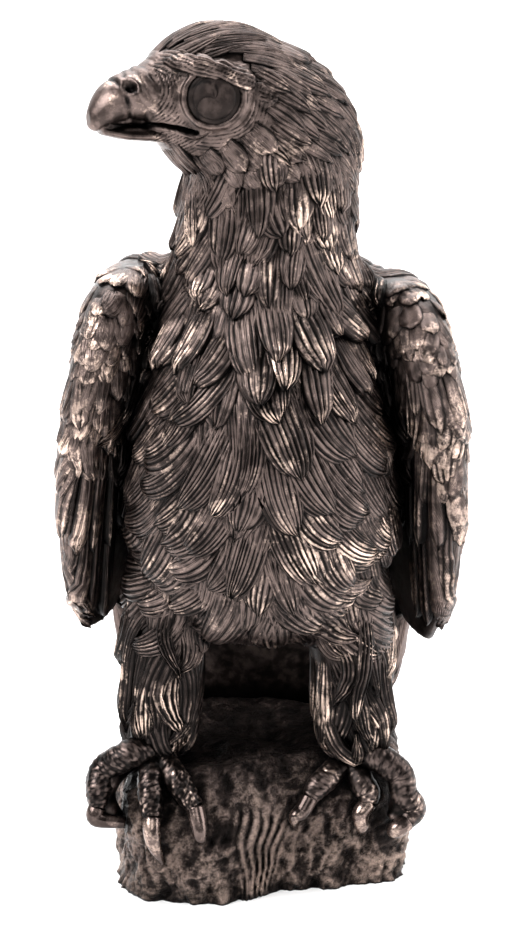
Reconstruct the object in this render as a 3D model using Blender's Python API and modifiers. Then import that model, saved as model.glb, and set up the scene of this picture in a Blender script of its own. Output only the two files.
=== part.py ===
"""Eagle statuette: an eagle with drooping wings that grips a rough rock, cast in one piece with it.

The frame is +Z up, the eagle's chest faces -Y, its head is turned to -X, and the origin is under the rock.
Run it with: blender --background --python part.py
"""

import math

import bmesh
import bpy
from mathutils import Matrix, Vector, noise
from mathutils.bvhtree import BVHTree

# Driving dimensions, in metres
FIGURE_HEIGHT = 0.170  # from the rock's top to the crown of the head
ROCK_HEIGHT = 0.0305
ROCK_WIDTH = 0.068
ROCK_DEPTH = 0.052
ROCK_BACK = 0.57  # the share of the depth that lies behind the origin
ROCK_SKEW = 0.10  # the share of the depth by which the front stands forward at -X and back at +X
ROCK_EDGE_SLOPE = 0.008  # how far the rock's front edge falls back at the top, where the toes curl over
ROCK_ROUGHNESS = 0.0024  # height of the lumps
ROCK_LUMP = 0.016  # width of the lumps
HEAD_TURN_DEG = 66.0  # from straight ahead towards -X

# Roots that run down the rock's front: x at the top and at the foot, as shares of the rock's width, and radius
ROOTS = [(-0.13, 0.0, 0.0017), (-0.05, 0.02, 0.0021), (0.04, 0.04, 0.0019), (0.12, 0.07, 0.0014)]

# How finely the forms are fused, in metres, and the triangles that the finished solid keeps
SKIN_VOXEL = 0.0011
CARVING_VOXEL = 0.0007
TRIANGLES = 9500

PATINA_COLOUR = (0.13, 0.105, 0.09, 1.0)
PATINA_ROUGHNESS = 0.42
PATINA_METALLIC = 0.85

# The figure's own forms are shares of its height: the tables below hold 170ths of it, measured from a ground
# that lies 33 of them below the plane on which the feet stand.
SHARES = 170.0
PERCH = 33.0
# The rock, in metres, on which the tables of the feet and of the tail's foot are set out
TABLE_ROCK_WIDTH, TABLE_ROCK_DEPTH = 0.068, 0.052

# Rows of a loft: z, centre x, centre y, half width, half depth, turn in degrees
TORSO = [
    (64, 0, -3, 17, 17, 0),
    (69, 0, -3, 24, 23, 0),
    (78, 0, -2, 28.5, 28, 0),
    (92, 0, 0, 30.5, 33, 0),
    (106, 0, 0, 29.5, 34, 0),
    (120, 0, 0, 27, 32, 0),
    (132, 0, 0.5, 24.5, 28, 0),
    (144, 0.2, 0, 21.8, 23, 0),
    (154, 0.7, -1.5, 19.6, 19.5, 0),
    (164, 1.2, -2.5, 19.2, 18.4, 0),
    (174, 1.4, -3.6, 18, 17.4, 0),
    (182, 0.4, -4, 14.5, 14, 0),
]
WING = [
    (149.5, -29, 3, 3.5, 8, -10),
    (146, -30.5, 2, 6.8, 17, -12),
    (136, -31.3, 2.5, 8.3, 23.5, -15),
    (124, -32.6, 5, 7.8, 26.5, -17),
    (110, -34.6, 8, 6.8, 28, -17),
    (95, -36.8, 10, 5.8, 27, -16),
    (82, -37.8, 12, 4.6, 24, -15),
    (70, -38.2, 14, 3.5, 19, -14),
    (61, -38.6, 15, 2.2, 11, -12),
]
MANTLE = [
    (153, 0, 3, 16, 10, 0),
    (147, 0, 6, 27, 13, 0),
    (138, 0, 9, 33, 17, 0),
    (124, 0, 11, 36, 20, 0),
    (108, 0, 13, 37.5, 21.5, 0),
    (92, 0, 16, 36.5, 19.5, 0),
    (78, 0, 21, 33, 14, 0),
    (66, 0, 26, 28, 8, 0),
]
FLIGHT_FAN = [
    (114, -21, 26, 11, 5, 24),
    (104, -23.5, 27, 13.5, 6, 22),
    (92, -25, 28.5, 14, 5.6, 20),
    (78, -25.5, 30, 13.2, 4.8, 18),
    (60, -25, 31, 12.4, 4.2, 15),
    (45, -23.6, 32, 11.4, 3.7, 12),
    (33, -21.6, 33, 9.4, 3.1, 10),
    (25, -20, 33.5, 5.5, 2, 8),
]
TAIL = [
    (92, 0, 27, 17, 7, 0),
    (62, 0, 30.5, 18, 5.5, 0),
    (40, 0, 33, 19, 4.4, 0),
    (20, 0, 34.6, 20.5, 3.7, 0),
    (7, 0, 35.6, 21, 3, 0),
]
THIGH = [
    (86, -16, -3, 10, 13, 0),
    (76, -19, -6, 11.5, 14, 0),
    (65, -21.6, -7.5, 9.8, 12.5, 0),
    (54, -22.8, -9, 8.2, 10.5, 0),
    (46, -23.4, -10.5, 7.3, 8.6, 0),
    (39.5, -24, -11.5, 6, 6.6, 0),
    (36, -24.3, -12, 4, 4.4, 0),
]
# How far the far side's forms lie from a mirror image: towards +X, and down
WING_SHIFT, WING_DROP = 1.5, 2.0
FAN_SHIFT, FAN_DROP = 0.0, 1.0
THIGH_SHIFT, THIGH_DROP = -2.5, 0.0

# The head's forms run along its own axis: distance towards the beak, sideways, up, half width, half height, turn
HEAD_CENTRE = (-3.9, -6.0, 186.6)
SKULL = [
    (-28.6, 0, -12.5, 2.6, 3.6, 0),
    (-26, 0, -12, 7.4, 9.4, 0),
    (-20, 0, -10.3, 12.5, 15.5, 0),
    (-12, 0, -8.4, 15.6, 18.8, 0),
    (-3, 0, -5, 16.4, 19.9, 0),
    (4, 0, -2.3, 15.6, 19.2, 0),
    (10, 0, -0.5, 13.6, 17.4, 0),
    (16, 0, 0.4, 11, 14.6, 0),
    (19.5, 0, 1.2, 9, 11.8, 0),
    (22, 0, 1.4, 7.6, 9, 0),
    (25, 0, 1, 6.4, 6.4, 0),
]
UPPER_BEAK = [
    (20, 0, 2.4, 7.2, 7.2, 0),
    (25, 0, 2.1, 6.7, 6.1, 0),
    (30, 0, 1.2, 5.8, 5.1, 0),
    (33.4, 0, -0.2, 4.7, 4.7, 0),
    (35.6, 0, -1.8, 3.3, 3.8, 0),
    (37.0, 0, -2.9, 1.5, 1.9, 0),
]
LOWER_BEAK = [
    (14, 0, -8.0, 6.2, 2.6, 0),
    (22, 0, -6.9, 5.2, 1.7, 0),
    (29, 0, -6.5, 4.2, 1.3, 0),
    (34.4, 0, -5.2, 2.6, 1.2, 0),
]
EYE = (12.6, 10.1, 2.3)
EYE_RADIUS = 4.9
LID_RING = (5.3, 5.0, 2.2)  # half width, half height, and how far outside the eye's centre it lies
LID_RADIUS = 0.9
BROW = [(22, 5.5, 9.2), (19, 8.4, 9.6), (15, 11.4, 8.7), (10, 13.6, 6), (4, 14.9, 2.6), (-3, 15.6, 0.2), (-9, 15.4, -1.5)]
BROW_RADII = [0.8, 1.9, 2.3, 2.4, 2.1, 1.7, 0.9]

# Each foot: the ankle, then a toe's points from there to the claw's root, then the claw's to its tip
LEFT_FOOT = {
    "ankle": (-24.6, -13, 41),
    "outer": [(-26, -17, 37.6), (-31.5, -20.5, 37.8), (-37, -22, 35), (-40.6, -23.5, 29.6), (-41, -24, 26.4)],
    "outer_claw": [(-41, -24, 26.4), (-40.2, -25.2, 23.2), (-36.6, -26, 22), (-34.6, -25.5, 21.5)],
    "middle": [(-25.5, -18, 37.2), (-26, -23.5, 34.2), (-26.3, -28.6, 29), (-26.1, -31.4, 23.8)],
    "middle_claw": [(-26.1, -31.4, 23.8), (-25.9, -33.2, 20.8), (-25.4, -32.6, 17.6), (-25, -31, 15.6)],
    "inner": [(-23.4, -17.5, 36.8), (-20.4, -22.5, 33.4), (-17.2, -27.2, 29.6), (-14.9, -30, 26.2)],
    "inner_claw": [(-14.9, -30, 26.2), (-13.8, -31.8, 23.4), (-13.3, -31.6, 20), (-13.2, -30, 18)],
    "hind": [(-24, -9, 37), (-22.5, -3, 36.6), (-21, 2, 35.2)],
    "hind_claw": [(-21, 2, 35.2), (-20.4, 5, 34.6), (-20, 7, 33)],
}
RIGHT_FOOT = {
    "ankle": (21.2, -11, 40),
    "outer": [(23, -14, 36.8), (29, -16.6, 34.8), (34.4, -18, 31.4), (37.8, -19, 26.6), (38.4, -20, 23.4)],
    "outer_claw": [(38.4, -20, 23.4), (37.8, -21.4, 20.4), (35.4, -22, 18.2), (33, -21, 17)],
    "middle": [(22, -15, 36), (23.6, -19.6, 32.4), (25.4, -24, 27.6), (26.6, -26, 23.6)],
    "middle_claw": [(26.6, -26, 23.6), (26.4, -28, 21), (25.7, -27.8, 18.2), (25, -26, 16.4)],
    "inner": [(19.6, -14.5, 36), (16.4, -19, 32.4), (13, -23, 28.4), (10.8, -25.4, 25)],
    "inner_claw": [(10.8, -25.4, 25), (9.8, -27.2, 22), (9.4, -27, 18.6), (9.4, -25.4, 16.8)],
    "hind": [(21, -7, 36.6), (19.6, -1, 36.2), (18.6, 4, 35)],
    "hind_claw": [(18.6, 4, 35), (18.2, 7, 34.4), (18, 9, 33)],
}
TOE_RADIUS = 2.6
CLAW_RADIUS = 1.6
TOE_GRIP = 0.9  # the most radii that a toe's centre stands off the rock
OUTER_TOE_GRIP = 2.4
CLAW_TIP_GRIP = 0.3

# Rows of feathers: z of the first and last row, rows, angle of the first and last feather (0 is -Y, 90 is +X),
# feathers in a row, length, width, lift of the tip, and lean away from the front line in degrees
CHEST_BANDS = [
    (148, 126, 4, -128, 128, 13, 13.0, 8.5, 2.0, 6),
    (120, 82, 6, -112, 112, 15, 13.0, 8.8, 1.9, 30),
    (75, 67, 2, -90, 90, 9, 12.0, 8.0, 1.6, 20),
]
NAPE_BANDS = [
    (186, 164, 4, -140, 140, 13, 10.5, 6.6, 1.5, 4),
    (158, 154, 1, -180, 180, 15, 12.0, 7.6, 1.8, 4),
]
MANTLE_BANDS = [(148, 86, 7, 118, 242, 8, 14.0, 10.0, 1.8, 0)]
WING_BANDS = [
    (146, 128, 4, -70, 150, 9, 8.5, 7.0, 1.3, 0),
    (120, 104, 3, -70, 150, 9, 13.0, 8.0, 1.5, 0),
]
THIGH_BANDS = [(80, 46, 5, -180, 180, 7, 13.0, 7.0, 1.4, 8)]
# Rings of feathers round the head: ahead, half of the angle covered (0 is the crown), feathers, length, width, lift
HEAD_RINGS = [
    (8, 60, 5, 9.0, 7.0, 0.7),
    (1, 150, 12, 8.5, 7.0, 0.9),
    (-5, 160, 14, 9.0, 7.0, 1.1),
    (-11, 165, 14, 9.5, 7.0, 1.3),
    (-17, 165, 13, 10.0, 7.0, 1.4),
    (-22, 165, 10, 10.0, 7.0, 1.4),
]
# Flight feathers that run down a blade: z of the root, place across the blade from -1 to 1, length, width
PRIMARIES = [(103 - 3.0 * k, 0.94 - 0.27 * k, 45 - 2.2 * k, 9.0) for k in range(7)]
FAN_FEATHERS = [(90 - 2.0 * k, 0.85 - 0.34 * k, 60 - 2.0 * k, 7.6) for k in range(6)]
TAIL_FEATHERS = [(66, -0.84 + 0.28 * k, 56 + 2.0 * (k % 2), 8.4) for k in range(7)]
FLIGHT_LIFT = 1.7
FLIGHT_OVERLAP = 0.5  # how much of the lift one long edge stands over the other
FEATHER_ROOT_DEPTH = 0.9
COVERT_ROWS, FLIGHT_ROWS, FEATHER_COLUMNS = 5, 9, 5


def unit():
    """One share of the figure's height, in metres."""
    return FIGURE_HEIGHT / SHARES


def place(x, y, z):
    """A point of the figure's tables, in metres above the ground."""
    return Vector((x, y, z - PERCH)) * unit() + Vector((0, 0, ROCK_HEIGHT))


def in_head(ahead, side, up):
    """A point of the head's tables, in metres. Sideways is the head's left, which is turned to the front."""
    turn = math.radians(HEAD_TURN_DEG)
    forward = Vector((-math.sin(turn), -math.cos(turn), 0))
    left = Vector((math.cos(turn), -math.sin(turn), 0))
    return place(*HEAD_CENTRE) + (forward * ahead + left * side + Vector((0, 0, up))) * unit()


def mirrored(rows, shift, drop):
    """The same loft on the far side, moved a little, because the two sides aren't alike."""
    return [(z - drop, -x + shift, y, width, depth, -turn) for z, x, y, width, depth, turn in rows]


def behind_rock(rows):
    """The rows of a tail, with its foot moved so that it keeps its distance from the rock's back."""
    shift = (ROCK_DEPTH - TABLE_ROCK_DEPTH) * ROCK_BACK / unit()
    top, low = TAIL[0][0], TAIL[-1][0]
    return [(z, x, y + shift * min(1.0, (top - z) / (top - low)), *others) for z, x, y, *others in rows]


def between(rows, steps):
    """Rows of numbers with others put between them on a smooth curve."""
    found = []
    for i in range(len(rows) - 1):
        before, start, end, after = (rows[min(max(j, 0), len(rows) - 1)] for j in (i - 1, i, i + 1, i + 2))
        for k in range(steps):
            t = k / steps
            row = []
            for a, b, c, d in zip(before, start, end, after):
                bend = (2 * a - 5 * b + 4 * c - d) * t * t + (3 * b - a - 3 * c + d) * t**3
                row.append(0.5 * (2 * b + (c - a) * t + bend))
            found.append(tuple(row))
    return [*found, tuple(rows[-1])]


def row_at(rows, along):
    """The numbers of a loft's row at any place along it, without the place itself."""
    ordered = rows if rows[0][0] < rows[-1][0] else rows[::-1]
    for lower, upper in zip(ordered, ordered[1:]):
        if along <= upper[0]:
            break
    share = (along - lower[0]) / (upper[0] - lower[0])
    return [a + (b - a) * share for a, b in zip(lower[1:], upper[1:])]


def loft_point(rows, z, angle):
    """A point of an upright loft's surface, at an angle in degrees from -Y towards +X."""
    x, y, half_width, half_depth, turn = row_at(rows, z)
    flat = Vector((half_width * math.sin(math.radians(angle)), -half_depth * math.cos(math.radians(angle))))
    flat.rotate(Matrix.Rotation(math.radians(turn), 2))
    return place(x + flat.x, y + flat.y, z)


def skull_point(ahead, angle):
    """A point of the skull's surface, at an angle in radians from the crown towards the head's left."""
    side, up, half_width, half_height, _ = row_at(SKULL, ahead)
    return in_head(ahead, side + half_width * math.sin(angle), up + half_height * math.cos(angle))


def new_object(name, bm, collection):
    """A mesh object with its faces turned outwards."""
    mesh = bpy.data.meshes.new(name)
    bmesh.ops.recalc_face_normals(bm, faces=bm.faces[:])
    bm.to_mesh(mesh)
    bm.free()
    obj = bpy.data.objects.new(name, mesh)
    collection.objects.link(obj)
    return obj


def skinned(name, rings, collection):
    """A closed body through rings that all have the same number of points, in metres."""
    bm = bmesh.new()
    loops = [[bm.verts.new(point) for point in ring] for ring in rings]
    for lower, upper in zip(loops, loops[1:]):
        for k in range(len(lower)):
            bm.faces.new((lower[k - 1], lower[k], upper[k], upper[k - 1]))
    bm.faces.new(loops[0])
    bm.faces.new(loops[-1])
    return new_object(name, bm, collection)


def loft(name, rows, collection, carry=None, steps=3, sides=28):
    """A closed body through the elliptical sections of a table, upright or carried along the head."""
    rings = []
    for along, x, y, half_width, half_depth, turn in between(rows, steps):
        spin = Matrix.Rotation(math.radians(turn), 2)
        ring = []
        for k in range(sides):
            angle = math.tau * k / sides
            flat = spin @ Vector((half_width * math.cos(angle), half_depth * math.sin(angle)))
            ring.append(carry(along, x + flat.x, y + flat.y) if carry else place(x + flat.x, y + flat.y, along))
        rings.append(ring)
    return skinned(name, rings, collection)


def limb(name, points, radii, collection):
    """A round tube of changing radius through points in metres."""
    curve = bpy.data.curves.new(name, "CURVE")
    curve.dimensions = "3D"
    curve.bevel_depth = 1.0
    curve.bevel_resolution = 3
    curve.use_fill_caps = True
    smooth = between([(*point, radius) for point, radius in zip(points, radii)], 4)
    spline = curve.splines.new("POLY")
    spline.points.add(len(smooth) - 1)
    for target, (x, y, z, radius) in zip(spline.points, smooth):
        target.co = (x, y, z, 1)
        target.radius = radius
    obj = bpy.data.objects.new(name, curve)
    collection.objects.link(obj)
    return obj


def ball(name, centre, radii, collection):
    """An ellipsoid, in metres."""
    bm = bmesh.new()
    bmesh.ops.create_uvsphere(bm, u_segments=24, v_segments=14, radius=1.0)
    bmesh.ops.transform(bm, matrix=Matrix.Translation(centre) @ Matrix.Diagonal((*radii, 1)), verts=bm.verts[:])
    return new_object(name, bm, collection)


def joined(name, objects, collection):
    """One mesh object from the evaluated shapes of several, which are removed."""
    bpy.context.view_layer.update()
    graph = bpy.context.evaluated_depsgraph_get()
    bm = bmesh.new()
    for obj in objects:
        mesh = bpy.data.meshes.new_from_object(obj.evaluated_get(graph))
        mesh.transform(obj.matrix_world)
        bm.from_mesh(mesh)
        bpy.data.meshes.remove(mesh)
    for obj in objects:
        bpy.data.objects.remove(obj)
    bmesh.ops.remove_doubles(bm, verts=bm.verts[:], dist=1e-6)
    mesh = bpy.data.meshes.new(name)
    bm.to_mesh(mesh)
    bm.free()
    made = bpy.data.objects.new(name, mesh)
    collection.objects.link(made)
    return made


def fused(obj, voxel, smoothing):
    """Gives an object of overlapping bodies the modifiers that make one soft body of them."""
    remesh = obj.modifiers.new("fuse", "REMESH")
    remesh.mode = "VOXEL"
    remesh.voxel_size = voxel
    smooth = obj.modifiers.new("soften", "SMOOTH")
    smooth.factor = 0.5
    smooth.iterations = smoothing
    return obj


def largest_piece(obj, collection):
    """The evaluated shape of an object, without crumbs that have come apart from it."""
    whole = joined(obj.name, [obj], collection)
    bm = bmesh.new()
    bm.from_mesh(whole.data)
    left = set(bm.verts)
    best = set()
    while left:
        first = left.pop()
        island, edge = {first}, [first]
        while edge:
            for link in edge.pop().link_edges:
                for vert in link.verts:
                    if vert in left:
                        left.discard(vert)
                        island.add(vert)
                        edge.append(vert)
        if len(island) > len(best):
            best = island
    bmesh.ops.delete(bm, geom=[vert for vert in bm.verts if vert not in best], context="VERTS")
    bm.to_mesh(whole.data)
    bm.free()
    return whole


class Covering:
    """Feathers laid on a skin, gathered as closed leaves in one mesh."""

    def __init__(self, skin):
        bpy.context.view_layer.update()
        self.tree = BVHTree.FromObject(skin, bpy.context.evaluated_depsgraph_get())
        self.bm = bmesh.new()

    def lay(self, root, heading, length, width, lift, overlap=0.0, rows=COVERT_ROWS):
        """One feather from its root along the skin, unless the skin passes well over the root."""
        size = unit()
        near, normal, _, distance = self.tree.find_nearest(root)
        deepest = 5.0 if rows == FLIGHT_ROWS else 2.0
        if distance > deepest * size and (root - near).dot(normal) < 0:
            return
        course = heading
        point = near
        tops, bottoms = [], []
        for i in range(rows):
            u = i / (rows - 1)
            surface, normal, _, _ = self.tree.find_nearest(point)
            course = (course - normal * course.dot(normal)).normalized()
            across = normal.cross(course)
            outline = 1 - 0.6 * u**6 if rows == FLIGHT_ROWS else 0.55 + 0.9 * u - 1.2 * u**3.5
            top, bottom = [], []
            for k in range(FEATHER_COLUMNS):
                v = 2 * k / (FEATHER_COLUMNS - 1) - 1
                sweep = 0.22 * width * size * v * v * u * u
                spot = surface + across * v * outline * width * size / 2 - course * sweep
                floor, up, _, _ = self.tree.find_nearest(spot)
                height = lift * ((0.12 + 0.88 * u) * (1 - 0.45 * v * v) + overlap * v)
                top.append(self.bm.verts.new(floor + up * height * size))
                bottom.append(self.bm.verts.new(floor - up * FEATHER_ROOT_DEPTH * size))
            tops.append(top)
            bottoms.append(bottom)
            point = surface + course * length * size / (rows - 1)
        self.close(tops, bottoms)

    def close(self, tops, bottoms):
        """Faces round a leaf whose top and bottom are grids of points."""
        rows, columns = len(tops), len(tops[0])
        face = self.bm.faces.new
        for i in range(rows - 1):
            for k in range(columns - 1):
                face((tops[i][k], tops[i][k + 1], tops[i + 1][k + 1], tops[i + 1][k]))
                face((bottoms[i][k], bottoms[i + 1][k], bottoms[i + 1][k + 1], bottoms[i][k + 1]))
        for row in (0, rows - 1):
            for k in range(columns - 1):
                face((tops[row][k], tops[row][k + 1], bottoms[row][k + 1], bottoms[row][k]))
        for column in (0, columns - 1):
            for i in range(rows - 1):
                face((tops[i][column], tops[i + 1][column], bottoms[i + 1][column], bottoms[i][column]))

    def bands(self, rows, bands, side=1):
        """Staggered rows of feathers round a loft, which point down and lean away from its front line."""
        for start, end, count, first, last, across, length, width, lift, lean in bands:
            for i in range(count):
                z = start + (end - start) * i / max(count - 1, 1)
                for k in range(across):
                    share = (k + 0.5 * (i % 2) + 0.25) / across
                    angle = side * (first + (last - first) * share)
                    root = loft_point(rows, z, angle)
                    down = (loft_point(rows, z - 1, angle) - root).normalized()
                    beside = (loft_point(rows, z, angle + 2) - loft_point(rows, z, angle - 2)).normalized()
                    sway = math.radians(lean) * math.tanh(math.sin(math.radians(angle)) * 3)
                    self.lay(root, down * math.cos(sway) + beside * math.sin(sway), length, width, lift)

    def flight(self, rows, feathers, facing, side):
        """Long feathers down a blade whose outer face looks towards an angle, each edge over the next feather."""
        for z, across, length, width in feathers:
            angle = facing + math.degrees(math.asin(side * across))
            root = loft_point(rows, z, angle)
            down = (loft_point(rows, z - 6, angle) - root).normalized()
            self.lay(root, down, length, width, FLIGHT_LIFT, side * FLIGHT_OVERLAP, FLIGHT_ROWS)

    def rings(self):
        """Feathers that run back over the head and droop at its sides."""
        for index, (ahead, spread, count, length, width, lift) in enumerate(HEAD_RINGS):
            for k in range(count):
                angle = math.radians(-spread + 2 * spread * (k + 0.25 + 0.5 * (index % 2)) / count)
                root = skull_point(ahead, angle)
                back = (skull_point(ahead - 1.5, angle) - root).normalized()
                droop = Vector((0, 0, -0.5 * abs(math.sin(angle))))
                self.lay(root, back + droop, length, width, lift)


def body(collection):
    """The bare form of the bird: body, back, head, wings, tail and feathered legs."""
    wings = (WING, mirrored(WING, WING_SHIFT, WING_DROP))
    fans = tuple(behind_rock(rows) for rows in (FLIGHT_FAN, mirrored(FLIGHT_FAN, FAN_SHIFT, FAN_DROP)))
    thighs = (THIGH, mirrored(THIGH, THIGH_SHIFT, THIGH_DROP))
    parts = [
        loft("torso", TORSO, collection),
        loft("mantle", MANTLE, collection),
        loft("tail", behind_rock(TAIL), collection),
        loft("skull", SKULL, collection, in_head),
    ]
    for name, pair in (("wing", wings), ("fan", fans), ("thigh", thighs)):
        parts += [loft(name, rows, collection) for rows in pair]
    skin = fused(joined("skin", parts, collection), SKIN_VOXEL, 6)
    return skin, wings, fans, thighs


def plumage(skin, wings, fans, thighs, collection):
    """The feathers of the whole bird, from the tables above."""
    covering = Covering(skin)
    covering.bands(TORSO, CHEST_BANDS)
    covering.bands(TORSO, NAPE_BANDS)
    covering.bands(MANTLE, MANTLE_BANDS)
    for side, wing, fan, thigh in zip((-1, 1), wings, fans, thighs):
        covering.bands(wing, WING_BANDS, side)
        covering.flight(wing, PRIMARIES, side * 90, side)
        covering.flight(fan, FAN_FEATHERS, 180, side)
        covering.flight(behind_rock(TAIL), [f for f in TAIL_FEATHERS if f[1] < 0 or side > 0 and f[1] == 0], 180, -side)
        covering.bands(thigh, THIGH_BANDS)
    covering.rings()
    return new_object("feathers", covering.bm, collection)


def face(collection):
    """The beak, and an eye, its lid and the brow over it on each side."""
    parts = [loft("upper_beak", UPPER_BEAK, collection, in_head), loft("lower_beak", LOWER_BEAK, collection, in_head)]
    ahead, out, up = EYE
    ring_width, ring_height, ring_out = LID_RING
    turns = [math.tau * k / 16 for k in range(17)]
    for side in (1, -1):
        parts.append(ball("eye", in_head(ahead, side * out, up), [EYE_RADIUS * unit()] * 3, collection))
        lid = []
        for turn in turns:
            across, over = ring_width * math.cos(turn), ring_height * math.sin(turn)
            lid.append(in_head(ahead + across, side * (out + ring_out), up + over))
        parts.append(limb("lid", lid, [LID_RADIUS * unit()] * len(lid), collection))
        brow = [in_head(a, side * b, c) for a, b, c in BROW]
        parts.append(limb("brow", brow, [radius * unit() for radius in BROW_RADII], collection))
    return parts


def on_rock(x, y, z):
    """A point of a toe, in metres, moved with the rock's edges when the rock is made wider or deeper."""
    point = place(x, y, z)
    return Vector((point.x * ROCK_WIDTH / TABLE_ROCK_WIDTH, point.y * ROCK_DEPTH / TABLE_ROCK_DEPTH, point.z))


def gripping(point, rock_tree, radius, reach):
    """The point drawn in until it is near the rock, or pushed out until it is clear of it."""
    near, normal, _, _ = rock_tree.find_nearest(point)
    gap = (point - near).dot(normal)
    if gap > reach * radius:
        return near + normal * reach * radius
    if gap < 0.55 * radius:
        return near + normal * 0.55 * radius
    return point


def foot(points_by_part, rock_tree, collection):
    """Three front toes and a hind toe with a claw each, and the ankle that they spread from."""
    toe = TOE_RADIUS * unit()
    claw = CLAW_RADIUS * unit()
    ankle = place(*points_by_part["ankle"])
    made = [ball("ankle", ankle, [toe * 2.0, toe * 2.0, toe * 2.2], collection)]
    for part, points in points_by_part.items():
        if part == "ankle":
            continue
        reach = OUTER_TOE_GRIP if part.startswith("outer") else TOE_GRIP
        path = [gripping(on_rock(*point), rock_tree, toe, reach) for point in points]
        if part.endswith("claw"):
            path[-1] = gripping(path[-1], rock_tree, claw, CLAW_TIP_GRIP)
            radii = [claw * share for share in (1.15, 1.0, 0.7, 0.15)[-len(path):]]
        else:
            path.insert(0, ankle)
            radii = [toe * (1.2 - 0.25 * k / (len(path) - 1)) for k in range(len(path))]
        made.append(limb(part, path, radii, collection))
    return made


def rock_edge(level, angle):
    """The rock's edge at a share of its height: a rounded box with a skewed front that slopes at the top."""
    squareness = 2 / 4.5
    c, s = math.cos(angle), math.sin(angle)
    x = math.copysign(abs(c) ** squareness, c)
    y = math.copysign(abs(s) ** squareness, s)
    slope = ROCK_EDGE_SLOPE * max(0.0, (level - 0.5) / 0.5) ** 1.6
    front = ROCK_DEPTH * (1 - ROCK_BACK - ROCK_SKEW * math.tanh(3 * x)) - slope
    back = ROCK_DEPTH * ROCK_BACK
    return Vector((x * ROCK_WIDTH / 2 * (1 - 0.05 * level**4), y * (front if y < 0 else back), 0))


def rock(collection):
    """A lumpy block, deeper than the ground so that its underside can be cut flat."""
    sides = 56
    profile = [(-0.2 + 0.1 * i, 1.0) for i in range(12)]
    profile += [(0.96, 0.97), (1.0, 0.9), (1.0, 0.72), (0.99, 0.5), (0.97, 0.28), (0.97, 0.1)]
    rings = []
    for level, share in profile:
        ring = []
        for k in range(sides):
            angle = math.tau * k / sides
            point = rock_edge(max(level, 0.0), angle) * share
            point.z = level * ROCK_HEIGHT
            outward = Vector((math.cos(angle), math.sin(angle), 0)) * (0.2 + 0.8 * share**4)
            outward.z = 1 - share**3
            bump = noise.fractal(point / ROCK_LUMP, 1.0, 2.0, 3)
            ring.append(point + outward * bump * ROCK_ROUGHNESS)
        rings.append(ring)
    return skinned("rock", rings, collection)


def roots(rock_tree, collection):
    """Ridges that run from the rock's top between the feet, and meet in a point at the foot of its front."""
    made = []
    for top_x, foot_x, radius in ROOTS:
        path, radii = [], []
        for i in range(9):
            t = i / 8
            x = (top_x + (foot_x - top_x) * t**0.7) * ROCK_WIDTH
            y = -ROCK_DEPTH * (0.10 + 0.9 * min(1.0, t * 2.2))
            z = ROCK_HEIGHT * (1.25 - 1.3 * t)
            near, normal, _, _ = rock_tree.find_nearest(Vector((x, y, z)))
            path.append(near - normal * radius * 0.55)
            radii.append(radius * (0.5 + 0.5 * math.sin(math.pi * t)))
        made.append(limb("root", path, radii, collection))
    return made


def ground_cutter(collection):
    """A box that fills everything under the ground plane."""
    bm = bmesh.new()
    bmesh.ops.create_cube(bm, size=1.0)
    spread = 3 * max(ROCK_WIDTH, ROCK_DEPTH)
    bmesh.ops.scale(bm, vec=(spread, spread, ROCK_HEIGHT), verts=bm.verts[:])
    bmesh.ops.translate(bm, vec=(0, 0, -ROCK_HEIGHT / 2), verts=bm.verts[:])
    cutter = new_object("ground_cut", bm, collection)
    cutter.hide_render = True
    cutter.display_type = "WIRE"
    return cutter


def patina():
    """Dark brown cast metal, rubbed brighter on its high spots."""
    material = bpy.data.materials.new("patinated_bronze")
    material.use_nodes = True
    shader = material.node_tree.nodes["Principled BSDF"]
    shader.inputs["Base Color"].default_value = PATINA_COLOUR
    shader.inputs["Roughness"].default_value = PATINA_ROUGHNESS
    shader.inputs["Metallic"].default_value = PATINA_METALLIC
    return material


def main():
    for obj in list(bpy.data.objects):
        bpy.data.objects.remove(obj)
    collection = bpy.data.collections.new("eagle_statuette")
    cutters = bpy.data.collections.new("cutters")
    for made in (collection, cutters):
        bpy.context.scene.collection.children.link(made)

    skin, wings, fans, thighs = body(collection)
    feathers = plumage(skin, wings, fans, thighs, collection)
    block = rock(collection)
    rock_tree = BVHTree.FromObject(block, bpy.context.evaluated_depsgraph_get())
    parts = [skin, feathers, block, *face(collection), *roots(rock_tree, collection)]
    for points_by_part in (LEFT_FOOT, RIGHT_FOOT):
        parts += foot(points_by_part, rock_tree, collection)
    carved = fused(joined("eagle_on_rock", parts, collection), CARVING_VOXEL, 1)
    statuette = largest_piece(carved, collection)
    statuette.name = "eagle_on_rock"
    statuette.data.materials.append(patina())

    thin = statuette.modifiers.new("thin", "DECIMATE")
    thin.ratio = TRIANGLES / (2 * len(statuette.data.polygons))
    flat = statuette.modifiers.new("flat_underside", "BOOLEAN")
    flat.operation = "DIFFERENCE"
    flat.solver = "EXACT"
    flat.object = ground_cutter(cutters)


main()
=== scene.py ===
"""The finished look of the eagle statuette: feathers, face, feet and rock in dark, rubbed bronze.

The frame is +Z up, the eagle's chest faces -Y, its head is turned to -X, and the origin is under the rock.
"""

import math

import bmesh
import bpy
import numpy as np
from mathutils import Matrix, Vector, noise
from mathutils.bvhtree import BVHTree


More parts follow.
